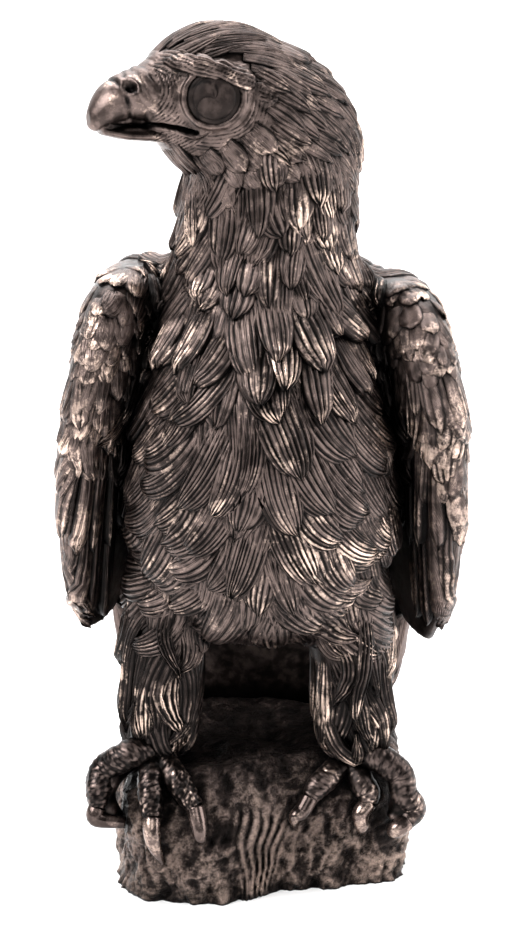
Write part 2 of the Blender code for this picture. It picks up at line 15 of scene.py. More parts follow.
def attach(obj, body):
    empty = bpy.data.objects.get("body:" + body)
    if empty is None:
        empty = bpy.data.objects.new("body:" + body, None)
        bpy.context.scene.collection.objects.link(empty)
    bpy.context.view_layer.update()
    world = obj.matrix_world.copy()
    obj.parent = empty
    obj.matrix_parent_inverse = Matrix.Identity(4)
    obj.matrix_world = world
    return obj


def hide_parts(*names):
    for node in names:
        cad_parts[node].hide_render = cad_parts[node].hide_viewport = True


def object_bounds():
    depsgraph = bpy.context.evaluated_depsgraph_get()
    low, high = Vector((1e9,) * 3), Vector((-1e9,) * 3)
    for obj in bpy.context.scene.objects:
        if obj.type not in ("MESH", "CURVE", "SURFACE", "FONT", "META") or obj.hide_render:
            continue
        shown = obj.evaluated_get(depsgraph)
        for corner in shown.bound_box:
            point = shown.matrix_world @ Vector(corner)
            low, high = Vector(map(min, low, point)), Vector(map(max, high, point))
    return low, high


# Driving dimensions, in metres
UNIT = 0.001
PERCH = 33.0  # height in the tables of the plane on which the feet stand
ROCK_HEIGHT = 0.0305
ROCK_WIDTH = 0.068
ROCK_DEPTH = 0.052
ROCK_BACK = 0.57
ROCK_SKEW = 0.10
ROCK_EDGE_SLOPE = 0.008
ROCK_ROUGHNESS = 0.0024
ROCK_LUMP = 0.016
HEAD_TURN_DEG = 66.0
SKIN_VOXEL = 0.0012
FACE_VOXEL = 0.00034
BOX_MARGIN = 0.00005
FACE_SINK = 0.0024  # how far the skin is drawn in under the face
EYE_CLEARANCE = 0.0098  # how far from an eye's centre feathers may start
LOST_ROOT, LOST_LONG_ROOT = 0.002, 0.005  # a root deeper than this in another form gets no feather

CAMERA_AT = (-0.0012, -0.5796, 0.2538)
CAMERA_PITCH_DEG = 15.0
CAMERA_LENS = 66.85
CAMERA_SENSOR = 24.0

# Rows of a loft: z, centre x, centre y, half width, half depth, turn in degrees
TORSO = [
    (64, 0, -3, 17, 17, 0),
    (69, 0, -3, 24, 23, 0),
    (78, 0, -2, 28.5, 28, 0),
    (92, 0, 0, 30.5, 33, 0),
    (106, 0, 0, 29.5, 34, 0),
    (120, 0, 0, 27, 32, 0),
    (132, 0, 0.5, 24.5, 28, 0),
    (144, 0.2, 0, 21.8, 23, 0),
    (154, 0.7, -1.5, 19.6, 19.5, 0),
    (164, 1.2, -2.5, 19.2, 18.4, 0),
    (174, 1.4, -3.6, 18, 17.4, 0),
    (182, 0.4, -4, 14.5, 14, 0),
]
WING = [
    (149.5, -29, 3, 3.5, 8, -10),
    (146, -30.5, 2, 6.8, 17, -12),
    (136, -31.3, 2.5, 8.3, 23.5, -15),
    (124, -32.6, 5, 7.8, 26.5, -17),
    (110, -34.6, 8, 6.8, 28, -17),
    (95, -36.8, 10, 5.8, 27, -16),
    (82, -37.8, 12, 4.6, 24, -15),
    (70, -38.2, 14, 3.5, 19, -14),
    (61, -38.6, 15, 2.2, 11, -12),
]
MANTLE = [
    (151.5, 0, 3, 16, 10, 0),
    (145, 0, 6, 27, 13, 0),
    (138, 0, 9, 33, 17, 0),
    (124, 0, 11, 36, 20, 0),
    (108, 0, 13, 37.5, 21.5, 0),
    (92, 0, 16, 36.5, 19.5, 0),
    (78, 0, 21, 33, 14, 0),
    (66, 0, 26, 28, 8, 0),
]
FLIGHT_FAN = [
    (114, -21, 26, 11, 5, 24),
    (104, -23.5, 27, 13.5, 6, 22),
    (92, -25, 28.5, 14, 5.6, 20),
    (78, -25.5, 30, 13.2, 4.8, 18),
    (60, -25, 31, 12.4, 4.2, 15),
    (45, -23.6, 32, 11.4, 3.7, 12),
    (33, -21.6, 33, 9.4, 3.1, 10),
    (25, -20, 33.5, 5.5, 2, 8),
]
TAIL = [
    (92, 0, 27, 17, 7, 0),
    (62, 0, 30.5, 18, 5.5, 0),
    (40, 0, 33, 19, 4.4, 0),
    (20, 0, 34.6, 20.5, 3.7, 0),
    (7, 0, 35.6, 21, 3, 0),
]
THIGH = [
    (86, -16, -3, 10, 13, 0),
    (76, -19, -6, 11.5, 14, 0),
    (65, -21.6, -7.5, 9.8, 12.5, 0),
    (54, -22.8, -9, 8.2, 10.5, 0),
    (46, -23.4, -10.5, 7.3, 8.6, 0),
    (39.5, -24, -11.5, 6, 6.6, 0),
    (36, -24.3, -12, 4, 4.4, 0),
]
WING_SHIFT, WING_DROP = 1.5, 5.0
LEFT_WING_DROP = 1.6
WING_TAPER = 2.4  # how far the right wing's lower half is drawn in
FAN_SHIFT, FAN_DROP = 0.0, 1.0
THIGH_SHIFT, THIGH_DROP = -2.5, 0.0

# The head's forms run along its own axis: distance ahead, sideways, up, half width, half height, turn
HEAD_CENTRE = (-3.9, -6.0, 186.6)
SKULL = [
    (-26.6, 0, -12.5, 2.6, 3.6, 0),
    (-24.2, 0, -12, 7.4, 9.4, 0),
    (-18.6, 0, -10.3, 12.3, 15.0, 0),
    (-11.4, 0, -8.4, 15.2, 18.2, 0),
    (-3, 0, -5, 16.4, 19.9, 0),
    (4, 0, -2.3, 15.6, 19.2, 0),
    (10, 0, -0.5, 13.6, 17.4, 0),
    (16, 0, 0.4, 11, 14.6, 0),
    (19.5, 0, 1.2, 9, 11.8, 0),
    (22, 0, 1.4, 7.6, 9, 0),
    (25, 0, 1, 6.4, 6.4, 0),
]
UPPER_BEAK = [
    (20, 0, 2.4, 7.2, 7.2, 0),
    (25, 0, 2.1, 6.7, 6.1, 0),
    (30, 0, 1.2, 5.8, 5.1, 0),
    (33.4, 0, -0.2, 4.7, 4.7, 0),
    (35.6, 0, -1.8, 3.3, 3.8, 0),
    (37.0, 0, -2.9, 1.5, 1.9, 0),
]
LOWER_BEAK = [
    (14, 0, -8.0, 6.2, 2.6, 0),
    (22, 0, -6.9, 5.2, 1.7, 0),
    (29, 0, -6.5, 4.2, 1.3, 0),
    (34.4, 0, -5.2, 2.6, 1.2, 0),
]
MOUTH_CORE = [
    (14, 0, -5.0, 4.4, 3.0, 0),
    (24, 0, -4.8, 3.6, 2.0, 0),
    (32, 0, -4.2, 2.6, 1.8, 0),
    (34.6, 0, -3.8, 1.2, 1.4, 0),
]
EYE = (12.6, 12.3, 1.9)
EYE_TILT_DEG = 22.0
EYE_RADIUS = 7.0
EYE_FLATNESS = 0.35
EYE_SINK = 2.3
LID_RING = (6.5, 6.3)
LID_RADIUS = 0.75
BROW = [
    (21, 5.4, 9.2),
    (18.2, 8.8, 9.3),
    (15, 11.2, 8.7),
    (11, 12.8, 7.6),
    (6.5, 14.0, 5.7),
    (1, 14.8, 3.2),
    (-5, 15.0, 0.6),
]
BROW_RADII = [0.8, 2.0, 2.6, 2.8, 2.4, 1.3, 0.5]
NEAR_BROW = (0.93, 0.0)  # share of the table's sideways places, and how much higher
FAR_BROW = (0.80, -1.9)
NOSTRIL = (29.1, 4.1)
MOUTH = [(34.8, -4.4), (30, -4.5), (27, -4.3), (22, -4.6), (18.7, -5.1), (15.9, -6.0)]

LEFT_FOOT = {
    "ankle": (-24.6, -13, 41),
    "outer": [
        (-26, -17, 37.6),
        (-31.5, -20.5, 37.8),
        (-37, -22, 35),
        (-40.6, -23.5, 29.8),
        (-40.4, -24.2, 25.8),
    ],
    "outer_claw": [(-40.4, -24.2, 25.8), (-38.2, -25.4, 23.0), (-35.6, -25.8, 21.6)],
    "pad": [(-27, -14, 36), (-33, -17, 33), (-36, -19, 29), (-36.4, -20, 25), (-34.6, -20, 21)],
    "middle": [(-25.5, -18, 37.2), (-26, -23.5, 34.2), (-26.3, -28.2, 29.8), (-26.2, -30.6, 26.2)],
    "middle_claw": [(-26.2, -30.6, 26.2), (-26, -33, 22.6), (-25.2, -33.4, 17.6), (-23.8, -32.2, 13)],
    "inner": [(-23.4, -17.5, 36.8), (-20.4, -22.5, 33.6), (-17.6, -26.8, 30.4), (-15.8, -29, 28)],
    "inner_claw": [(-15.8, -29, 28), (-14.4, -31.2, 24.8), (-13.6, -31.4, 21), (-13.2, -30.2, 18)],
    "hind": [(-24, -9, 37), (-22.5, -3, 36.6), (-21, 2, 35.2)],
    "hind_claw": [(-21, 2, 35.2), (-20.4, 5, 34.6), (-20, 7, 33)],
}
RIGHT_FOOT = {
    "ankle": (21.2, -11, 40),
    "outer": [
        (23, -14, 36.8),
        (28.6, -16.6, 34.8),
        (33.4, -18, 31.4),
        (36.4, -19, 27),
        (37, -20, 23.2),
        (35.4, -21, 20),
    ],
    "outer_claw": [(35.4, -21, 20), (34.0, -21.6, 18.8), (32.6, -21.4, 17.8)],
    "pad": [(25, -13, 35), (30, -14, 32), (32.6, -16, 28), (33, -17, 24), (31.6, -17, 20)],
    "middle": [(22, -15, 36), (24.6, -19.6, 33), (27.6, -23.4, 29), (28.8, -25.2, 25.6)],
    "middle_claw": [(28.8, -25.2, 25.6), (28.6, -27.6, 22.4), (27.4, -27.6, 18.6), (25.6, -26.2, 15.6)],
    "inner": [(19.6, -14.5, 36), (16.6, -18.6, 33.2), (13.6, -22.2, 30.4), (11.8, -24.2, 28.4)],
    "inner_claw": [(11.8, -24.2, 28.4), (10.6, -26.6, 25.4), (10, -27, 21.6), (9.8, -26, 18.6)],
    "hind": [(21, -7, 36.6), (19.6, -1, 36.2), (18.6, 4, 35)],
    "hind_claw": [(18.6, 4, 35), (18.2, 7, 34.4), (18, 9, 33)],
}
TOE_RADIUS = 2.75
CLAW_RADIUS = 1.75
TOE_GRIP, OUTER_TOE_GRIP, CLAW_TIP_GRIP = 0.9, 2.4, 0.3

# Feathers: length, width, lift of the tip, ridges, groove depth, share of the width at the root,
# roundness, bluntness, dome, rows
CHEST = (21.0, 11.2, 3.3, 10, 0.66, 0.86, 4.4, 0.50, 0.45, 15)
BELLY = (17.0, 8.8, 2.5, 7, 0.62, 0.85, 3.8, 0.55, 0.45, 14)
UNDER = (18.0, 9.0, 1.2, 7, 0.50, 0.95, 8.0, 0.45, 0.30, 8)
HEM_TUFT = (12.0, 5.6, 1.6, 5, 0.50, 0.80, 2.2, 0.80, 0.45, 10)
NECK = (12.5, 8.2, 2.2, 6, 0.54, 0.80, 4.6, 0.48, 0.50, 12)
RUFF = (15.0, 8.8, 4.6, 7, 0.58, 0.80, 3.6, 0.56, 0.50, 13)
CROWN = (19.0, 2.7, 0.50, 3, 0.30, 0.80, 2.6, 0.90, 0.50, 12)
TEMPLE = (11.0, 4.8, 1.6, 4, 0.46, 0.80, 3.0, 0.60, 0.50, 10)
TUFT = (12.0, 5.2, 1.8, 4, 0.50, 0.80, 2.8, 0.65, 0.50, 10)
PEBBLE = (6.8, 6.0, 1.3, 4, 0.20, 0.85, 5.0, 0.45, 0.75, 9)
THROAT = (11.0, 3.2, 1.0, 3, 0.34, 0.80, 3.0, 0.65, 0.50, 10)
NAPE = (11.0, 6.4, 1.8, 5, 0.50, 0.80, 3.4, 0.58, 0.50, 10)
CAP = (7.4, 6.4, 0.7, 3, 0.12, 0.85, 5.0, 0.45, 0.70, 8)
SCALE = (7.4, 6.4, 1.4, 3, 0.18, 0.85, 5.0, 0.45, 0.70, 8)
COVERT = (13.0, 7.0, 2.3, 4, 0.30, 0.85, 4.0, 0.50, 0.65, 9)
LOCK = (26.0, 7.2, 3.8, 6, 0.80, 0.70, 2.2, 0.80, 0.50, 17)
BACK = (15.0, 10.0, 1.7, 6, 0.24, 0.85, 4.6, 0.46, 0.60, 10)
OUTER = (27.0, 6.6, 3.2, 4, 0.36, 0.85, 5.0, 0.60, 0.65, 14)
STRIP = (40.0, 5.6, 2.3, 4, 0.34, 0.90, 9.0, 0.55, 0.70, 20)
VANE = (56.0, 8.2, 1.6, 7, 0.24, 0.92, 16.0, 0.45, 0.60, 24)

HEM = (-13, -9.5, -6, -3, 0, 3, 6, 9.5, 13)
PROBES = (-1.0, -0.5, 0.0, 0.5, 1.0)
ROOT_DEPTH = 0.9

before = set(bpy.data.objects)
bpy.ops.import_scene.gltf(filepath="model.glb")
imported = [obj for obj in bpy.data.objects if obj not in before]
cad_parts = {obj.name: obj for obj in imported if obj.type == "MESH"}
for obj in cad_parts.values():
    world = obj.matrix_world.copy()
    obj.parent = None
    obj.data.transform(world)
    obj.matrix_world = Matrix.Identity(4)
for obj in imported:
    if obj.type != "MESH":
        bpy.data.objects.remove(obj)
cad_low, cad_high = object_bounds()
luck = np.random.default_rng(11)


def place(x, y, z):
    """A point of the figure's tables, in metres above the ground."""
    return Vector((x, y, z - PERCH)) * UNIT + Vector((0, 0, ROCK_HEIGHT))


TURN = math.radians(HEAD_TURN_DEG)
FORWARD = Vector((-math.sin(TURN), -math.cos(TURN), 0))
LEFT = Vector((math.cos(TURN), -math.sin(TURN), 0))


def in_head(ahead, side, up):
    """A point of the head's tables, in metres."""
    return place(*HEAD_CENTRE) + (FORWARD * ahead + LEFT * side + Vector((0, 0, up))) * UNIT


def eye_axes(side):
    """The way in which an eye looks, and the way along the head that is square to it."""
    tilt = math.radians(EYE_TILT_DEG)
    outward = LEFT * side * math.cos(tilt) + FORWARD * math.sin(tilt)
    return outward, FORWARD * math.cos(tilt) - LEFT * side * math.sin(tilt)


def head_shares(points):
    """The head's own coordinates of an array of points: ahead, side, up."""
    offset = (points - np.array(place(*HEAD_CENTRE))) / UNIT
    return offset @ np.array(FORWARD), offset @ np.array(LEFT), offset[:, 2]


def eye_centre(side):
    return in_head(EYE[0], side * EYE[1], EYE[2])


def mirrored(rows, shift, drop):
    """A left form's table for the right side."""
    return [(z - drop, -x + shift, y, width, depth, -turn) for z, x, y, width, depth, turn in rows]


def between(rows, steps):
    """Rows of numbers with others put between them on a smooth curve."""
    found = []
    for i in range(len(rows) - 1):
        before, start, end, after = (rows[min(max(j, 0), len(rows) - 1)] for j in (i - 1, i, i + 1, i + 2))
        for k in range(steps):
            t = k / steps
            row = []
            for a, b, c, d in zip(before, start, end, after):
                bend = (2 * a - 5 * b + 4 * c - d) * t * t + (3 * b - a - 3 * c + d) * t**3
                row.append(0.5 * (2 * b + (c - a) * t + bend))
            found.append(tuple(row))
    return [*found, tuple(rows[-1])]


def row_at(rows, along):
    """The numbers of a table at a place between its rows."""
    ordered = rows if rows[0][0] < rows[-1][0] else rows[::-1]
    for lower, upper in zip(ordered, ordered[1:]):
        if along <= upper[0]:
            break
    share = (along - lower[0]) / (upper[0] - lower[0])
    return [a + (b - a) * share for a, b in zip(lower[1:], upper[1:])]


def loft_point(rows, z, angle):
    """A point of an upright loft's surface, at an angle in degrees from -Y towards +X."""
    x, y, half_width, half_depth, turn = row_at(rows, z)
    flat = Vector((half_width * math.sin(math.radians(angle)), -half_depth * math.cos(math.radians(angle))))
    flat.rotate(Matrix.Rotation(math.radians(turn), 2))
    return place(x + flat.x, y + flat.y, z)


def slope(rows, z, angle, drop):
    """A point of an upright loft's surface, and the way down the surface from it."""
    root = loft_point(rows, z, angle)
    return root, (loft_point(rows, z - drop, angle) - root).normalized()


def skull_point(ahead, degrees):
    """A point of the skull's surface, at an angle from the crown towards the head's left."""
    side, up, half_width, half_height, _ = row_at(SKULL, ahead)
    angle = math.radians(degrees)
    return in_head(ahead, side + half_width * math.sin(angle), up + half_height * math.cos(angle))


def linked(name, data):
    """An object of the scene, made of a mesh, a curve, a lamp or a camera."""
    obj = bpy.data.objects.new(name, data)
    bpy.context.scene.collection.objects.link(obj)
    return obj


def new_object(name, bm):
    mesh = bpy.data.meshes.new(name)
    bmesh.ops.recalc_face_normals(bm, faces=bm.faces[:])
    bm.to_mesh(mesh)
    bm.free()
    return linked(name, mesh)


def skinned(name, rings):
    """A closed body through rings that all have the same number of points, in metres."""
    bm = bmesh.new()
    loops = [[bm.verts.new(point) for point in ring] for ring in rings]
    for lower, upper in zip(loops, loops[1:]):
        for k in range(len(lower)):
            bm.faces.new((lower[k - 1], lower[k], upper[k], upper[k - 1]))
    bm.faces.new(loops[0])
    bm.faces.new(loops[-1])
    return new_object(name, bm)


def loft(name, rows, carry=None, steps=3, sides=40):
    """A closed body through the elliptical sections of a table, upright or carried along the head."""
    rings = []
    for along, x, y, half_width, half_depth, turn in between(rows, steps):
        spin = Matrix.Rotation(math.radians(turn), 2)
        ring = []
        for k in range(sides):
            angle = math.tau * k / sides
            flat = spin @ Vector((half_width * math.cos(angle), half_depth * math.sin(angle)))
            x_on, y_on = x + flat.x, y + flat.y
            ring.append(carry(along, x_on, y_on) if carry else place(x_on, y_on, along))
        rings.append(ring)
    return skinned(name, rings)


def limb(name, points, radii):
    """A round tube of changing radius through points in metres."""
    curve = bpy.data.curves.new(name, "CURVE")
    curve.dimensions = "3D"
    curve.bevel_depth = 1.0
    curve.bevel_resolution = 4
    curve.use_fill_caps = True
    smooth = between([(*point, radius) for point, radius in zip(points, radii)], 5)
    spline = curve.splines.new("POLY")
    spline.points.add(len(smooth) - 1)
    for target, (x, y, z, radius) in zip(spline.points, smooth):
        target.co = (x, y, z, 1)
        target.radius = radius
    return linked(name, curve)


def fused(name, objects, voxel, smoothing):
    """One soft body made of overlapping ones, which are removed."""
    bpy.context.view_layer.update()
    graph = bpy.context.evaluated_depsgraph_get()
    bm = bmesh.new()
    for obj in objects:
        mesh = bpy.data.meshes.new_from_object(obj.evaluated_get(graph))
        bm.from_mesh(mesh)
        bpy.data.meshes.remove(mesh)
    for obj in objects:
        bpy.data.objects.remove(obj)
    rough = new_object(name, bm)
    remesh = rough.modifiers.new("fuse", "REMESH")
    remesh.mode = "VOXEL"
    remesh.voxel_size = voxel
    smooth = rough.modifiers.new("soften", "SMOOTH")
    smooth.factor = 0.5
    smooth.iterations = smoothing
    bpy.context.view_layer.update()
    mesh = bpy.data.meshes.new_from_object(rough.evaluated_get(bpy.context.evaluated_depsgraph_get()))
    bpy.data.objects.remove(rough)
    mesh.name = name
    return linked(name, mesh)


def tree_of(obj):
    bpy.context.view_layer.update()
    return BVHTree.FromObject(obj, bpy.context.evaluated_depsgraph_get())


def read(mesh, layer):
    """A mesh's points, "co", or their normals, "normal", as an array."""
    found = np.empty(len(mesh.vertices) * 3, np.float32)
    mesh.vertices.foreach_get(layer, found)
    return found.reshape(-1, 3).astype(float)


def write(mesh, points):
    """Moves a mesh's points."""
    mesh.vertices.foreach_set("co", points.astype(np.float32).ravel())
    mesh.update()


def marked(mesh, relief, wear, along=0.5, across=0.0):
    """Makes a mesh's faces smooth and gives its points the marks that the bronze's shading reads."""
    mesh.polygons.foreach_set("use_smooth", np.ones(len(mesh.polygons), bool))
    for name, values in (("relief", relief), ("wear", wear), ("along", along), ("across", across)):
        layer = mesh.attributes.new(name, "FLOAT", "POINT")
        values = np.broadcast_to(np.asarray(values, np.float32), len(mesh.vertices))
        layer.data.foreach_set("value", np.ascontiguousarray(values))


def noises(points, size):
    return np.array([noise.noise(Vector(point) / size) for point in points])


def furrows(value, power=0.6):
    """Rounded ridges with narrow grooves between them, from 0 in a groove to 1 on a ridge."""
    return np.abs(np.sin(np.pi * value)) ** power


def eased(low, high, value):
    """Runs smoothly from 0 at low to 1 at high."""
    share = np.clip((value - low) / (high - low), 0, 1)
    return share * share * (3 - 2 * share)


def staggered(k, i, across, first, last):
    """The angle of place k in course i; every second course starts half a place further on."""
    return first + (last - first) * (k + 0.25 + 0.5 * (i % 2) + luck.uniform(-0.2, 0.2)) / across


class Shells:
    """Closed shells gathered in one mesh, with their marks."""

    def __init__(self):
        self.points, self.loops, self.sizes = [], [], []
        self.marks = {"relief": [], "wear": [], "along": [], "across": []}
        self.count = 0

    def add(self, points, faces, sizes, **marks):
        self.points.append(points)
        self.loops.append(faces + self.count)
        self.sizes.append(sizes)
        for name, values in self.marks.items():
            values.append(np.broadcast_to(np.asarray(marks.get(name, 0.0), float), len(points)))
        self.count += len(points)

    def add_rings(self, points, sides, **marks):
        """A closed tube through rings of points, with a flat face at each end."""
        count = len(points) // sides
        loops = []
        for i in range(count - 1):
            for k in range(sides):
                a, b = i * sides + k, i * sides + (k + 1) % sides
                loops += [a, b, b + sides, a + sides]
        loops += [*range(sides - 1, -1, -1), *range((count - 1) * sides, count * sides)]
        sizes = [4] * (count - 1) * sides + [sides, sides]
        self.add(points, np.array(loops), np.array(sizes), **marks)

    def piece(self, name):
        mesh = bpy.data.meshes.new(name)
        loops, sizes = np.concatenate(self.loops), np.concatenate(self.sizes)
        mesh.vertices.add(self.count)
        mesh.vertices.foreach_set("co", np.concatenate(self.points).astype(np.float32).ravel())
        mesh.loops.add(len(loops))
        mesh.loops.foreach_set("vertex_index", loops.astype(np.int32))
        mesh.polygons.add(len(sizes))
        starts = np.concatenate(([0], np.cumsum(sizes)[:-1]))
        mesh.polygons.foreach_set("loop_start", starts.astype(np.int32))
        mesh.update(calc_edges=True)
        mesh.validate()
        marked(mesh, **{name: np.concatenate(values) for name, values in self.marks.items()})
        return linked(name, mesh)


LEAF_FACES = {}


def leaf_faces(rows, columns):
    """The faces round a leaf: a grid on top, a strip underneath, and a wall all round."""
    if (rows, columns) in LEAF_FACES:
        return LEAF_FACES[rows, columns]
    loops, sizes = [], []
    left, right = rows * columns, rows * columns + rows

    def face(*corners):
        loops.extend(corners)
        sizes.append(len(corners))

    for i in range(rows - 1):
        for k in range(columns - 1):
            a = i * columns + k
            face(a, a + columns, a + columns + 1, a + 1)
        a, b = i * columns, i * columns + columns - 1
        face(a, left + i, left + i + 1, a + columns)
        face(b, b + columns, right + i + 1, right + i)
        face(left + i, right + i, right + i + 1, left + i + 1)
    last = (rows - 1) * columns
    face(*range(columns), right, left)
    face(left + rows - 1, right + rows - 1, *range(last + columns - 1, last - 1, -1))
    LEAF_FACES[rows, columns] = np.array(loops), np.array(sizes)
    return LEAF_FACES[rows, columns]


class Plumage(Shells):
    """Feathers laid on a skin."""

    def __init__(self, tree):
        super().__init__()
        self.tree = tree

    def lay(
        self, root, heading, style, curl=0, stretch=1, bright=0.5, overlap=0, widen=1, twist=0, free=False
    ):
        """One feather along the skin from its root, or free of it, turned by curl and swayed by twist."""
        length, width, lift, ridges, depth, root_width, roundness, bluntness, dome, rows = style
        near, normal, _, gap = self.tree.find_nearest(root)
        if gap > (LOST_LONG_ROOT if length > 30 else LOST_ROOT) and (root - near).dot(normal) < 0:
            return
        length, width, depth = length * UNIT * stretch, width * UNIT * widen, depth * UNIT
        lift *= UNIT * luck.uniform(0.7, 1.25)
        u = 1 - (1 - np.linspace(0, 1, rows)) ** 1.5
        outline = root_width + (1 - root_width) * eased(0, 0.42, u)
        outline = outline * np.maximum(1 - u**roundness, 0) ** bluntness
        half = np.maximum(outline, 0.16) * width / 2

        # Across the feather, each ridge has three places: its groove and the two ends of its back
        widths = luck.uniform(0.65, 1.35, ridges)
        edges = np.concatenate(([0], np.cumsum(widths) / widths.sum())) * 2 - 1
        v = np.concatenate([np.linspace(a, b, 4)[:-1] for a, b in zip(edges, edges[1:])] + [[1.0]])
        slopes = luck.choice([0.66, 0.82, 1.0], ridges)
        ridge = np.concatenate([(0.0, slope, 1.66 - slope) for slope in slopes] + [(0.0,)])
        owner = np.append(np.repeat(np.arange(ridges), 3), ridges - 1)
        gain = luck.uniform(0.45, 1.25, ridges)[owner]
        ragged = luck.uniform(-1, 1, ridges)[owner]
        columns = len(v)

        # The skin under the feather, felt at a few places across each of its rows
        floor, ups = np.empty((2, rows, len(PROBES), 3))
        ways = np.empty((rows, 3))
        spot, course = near, heading
        for i in range(rows):
            if i == 0 or not free:
                spot, normal, _, _ = self.tree.find_nearest(spot)
            course = (course - normal * course.dot(normal)).normalized()
            if i:
                bend = curl * (u[i] ** 2 - u[i - 1] ** 2)
                bend += twist * (math.sin(math.tau * u[i]) - math.sin(math.tau * u[i - 1]))
                course = course * math.cos(bend) + normal.cross(course) * math.sin(bend)
            across = normal.cross(course)
            for j, probe in enumerate(PROBES):
                sweep = 0.07 * probe * probe * u[i] ** 2 * width
                aim = spot + across * probe * half[i] - course * sweep
                floor[i, j], ups[i, j] = (aim, normal) if free else self.tree.find_nearest(aim)[:2]
            ways[i] = course
            if i < rows - 1:
                spot = spot + course * length * (u[i + 1] - u[i])

        cell = np.clip(np.searchsorted(PROBES, v, side="right") - 1, 0, len(PROBES) - 2)
        share = (v - np.take(PROBES, cell)) / 0.5
        weight = np.zeros((columns, len(PROBES)))
        weight[np.arange(columns), cell] = 1 - share
        weight[np.arange(columns), cell + 1] += share
        base = np.einsum("cp,rpx->rcx", weight, floor)
        up = np.einsum("cp,rpx->rcx", weight, ups)

        along = u[:, None]
        rise = (-0.45 + 1.45 * along**0.55) * (1 - 0.4 * eased(0.85, 1, along))
        crown = 1 - dome * np.abs(v) ** 2.6
        fade = 0.35 + 0.65 * eased(0, 0.3, along)
        height = lift * (rise * crown + overlap * along * v) + depth * (ridge - 1) * gain * fade
        top = base + up * height[..., None]
        top += ways[:, None, :] * (ragged * along**4 * min(length, 0.02) * 0.05)[..., None]
        low = base - up * ROOT_DEPTH * UNIT
        points = np.concatenate((top.reshape(-1, 3), low[:, 0], low[:, -1]))

        relief = 1 - (1 - ridge) * np.clip(gain * depth / (0.45 * UNIT), 0, 1) * fade
        relief = relief * (1 - 0.6 * np.abs(v) ** 5) * (1 - 0.35 * eased(0.94, 1, along))
        wear = bright * (0.25 + 0.75 * along**1.6) * (1 - 0.45 * v**2)
        sides = np.zeros(2 * rows)
        self.add(
            points,
            *leaf_faces(rows, columns),
            relief=np.concatenate((relief.ravel(), sides)),
            wear=np.concatenate((wear.ravel(), sides)),
            along=np.concatenate((np.repeat(u, columns), u, u)) + 3.7 * (len(self.points) % 97),
            across=np.concatenate((np.tile(v, rows), sides - 1)),
        )

    def courses(
        self, rows, top, foot, gap, first, last, style, lean=0, curl=0, side=1, bright=0.5, spacing=0.72,
        twist=0,
    ):
        """Staggered rows of feathers round a loft, which point down and lean away from its front line."""
        count = max(1, round((top - foot) / gap))
        lowest, highest = sorted((rows[0][0], rows[-1][0]))
        for i in range(count + 1):
            z = top + (foot - top) * i / count
            line = [loft_point(rows, z, turn) for turn in np.linspace(first, last, 13)]
            arc = sum((a - b).length for a, b in zip(line, line[1:]))
            across = max(1, round(arc / (style[1] * UNIT * spacing)))
            for k in range(across):
                angle = side * staggered(k, i, across, first, last)
                level = float(np.clip(z + luck.uniform(-0.34, 0.34) * gap, lowest + 1.1, highest - 0.03))
                root, down = slope(rows, level, angle, 1)
                beside = loft_point(rows, level, angle + 2) - loft_point(rows, level, angle - 2)
                beside.normalize()
                outward = math.tanh(math.sin(math.radians(angle)) * 5.0)
                sway = math.radians(lean) * outward + luck.normal(0, 0.18)
                self.lay(
                    root,
                    down * math.cos(sway) + beside * math.sin(sway),
                    style,
                    curl=curl * outward + luck.normal(0, 0.26),
                    stretch=luck.uniform(0.76, 1.38),
                    bright=bright * luck.uniform(0.35, 1.3),
                    overlap=luck.normal(0, 0.10),
                    widen=luck.uniform(0.76, 1.28),
                    twist=twist * luck.choice((-1, 1)) * luck.uniform(0.6, 1.2),
                )

    def strips(self, rows, top, foot, starts, pitch, side, style, bright=0.5):
        """Long feathers side by side, from inside a blade's front edge towards its outer face."""
        reach, last = starts
        while reach <= last:
            level = top + luck.uniform(-2.0, 2.0)
            end = foot(reach) + luck.uniform(-1.2, 1.2)
            turn, gone = 0.0, 0.0
            spot = loft_point(rows, level, 0)
            while gone < abs(reach) and abs(turn) < 175:
                turn += math.copysign(3.0, reach)
                step = loft_point(rows, level, side * turn)
                gone += (step - spot).length / UNIT
                spot = step
            self.lay(
                *slope(rows, level, side * turn, 6),
                style,
                stretch=(level - end) / style[0],
                bright=bright * luck.uniform(0.5, 1.3),
                overlap=side * 0.55,
                widen=pitch * 1.16 / style[1],
            )
            reach += pitch * luck.uniform(0.92, 1.08)

    def fringe(self, spots, style, bright=0.5):
        """Tufts that hang free of the skin: place, heading and length of each."""
        for spot, heading, length in spots:
            stretch = length / style[0]
            self.lay(place(*spot), Vector(heading), style, stretch=stretch, bright=bright, free=True)

    def flight(self, rows, feathers, facing, side, style, bright=0.4):
        """Long feathers down a blade whose outer face looks towards an angle, each edge over the next."""
        for z, across, length, width in feathers:
            self.lay(
                *slope(rows, z, facing + math.degrees(math.asin(side * across)), 6),
                style,
                stretch=length / style[0],
                widen=width / style[1],
                bright=bright * luck.uniform(0.6, 1.2),
                overlap=side * 0.42,
            )

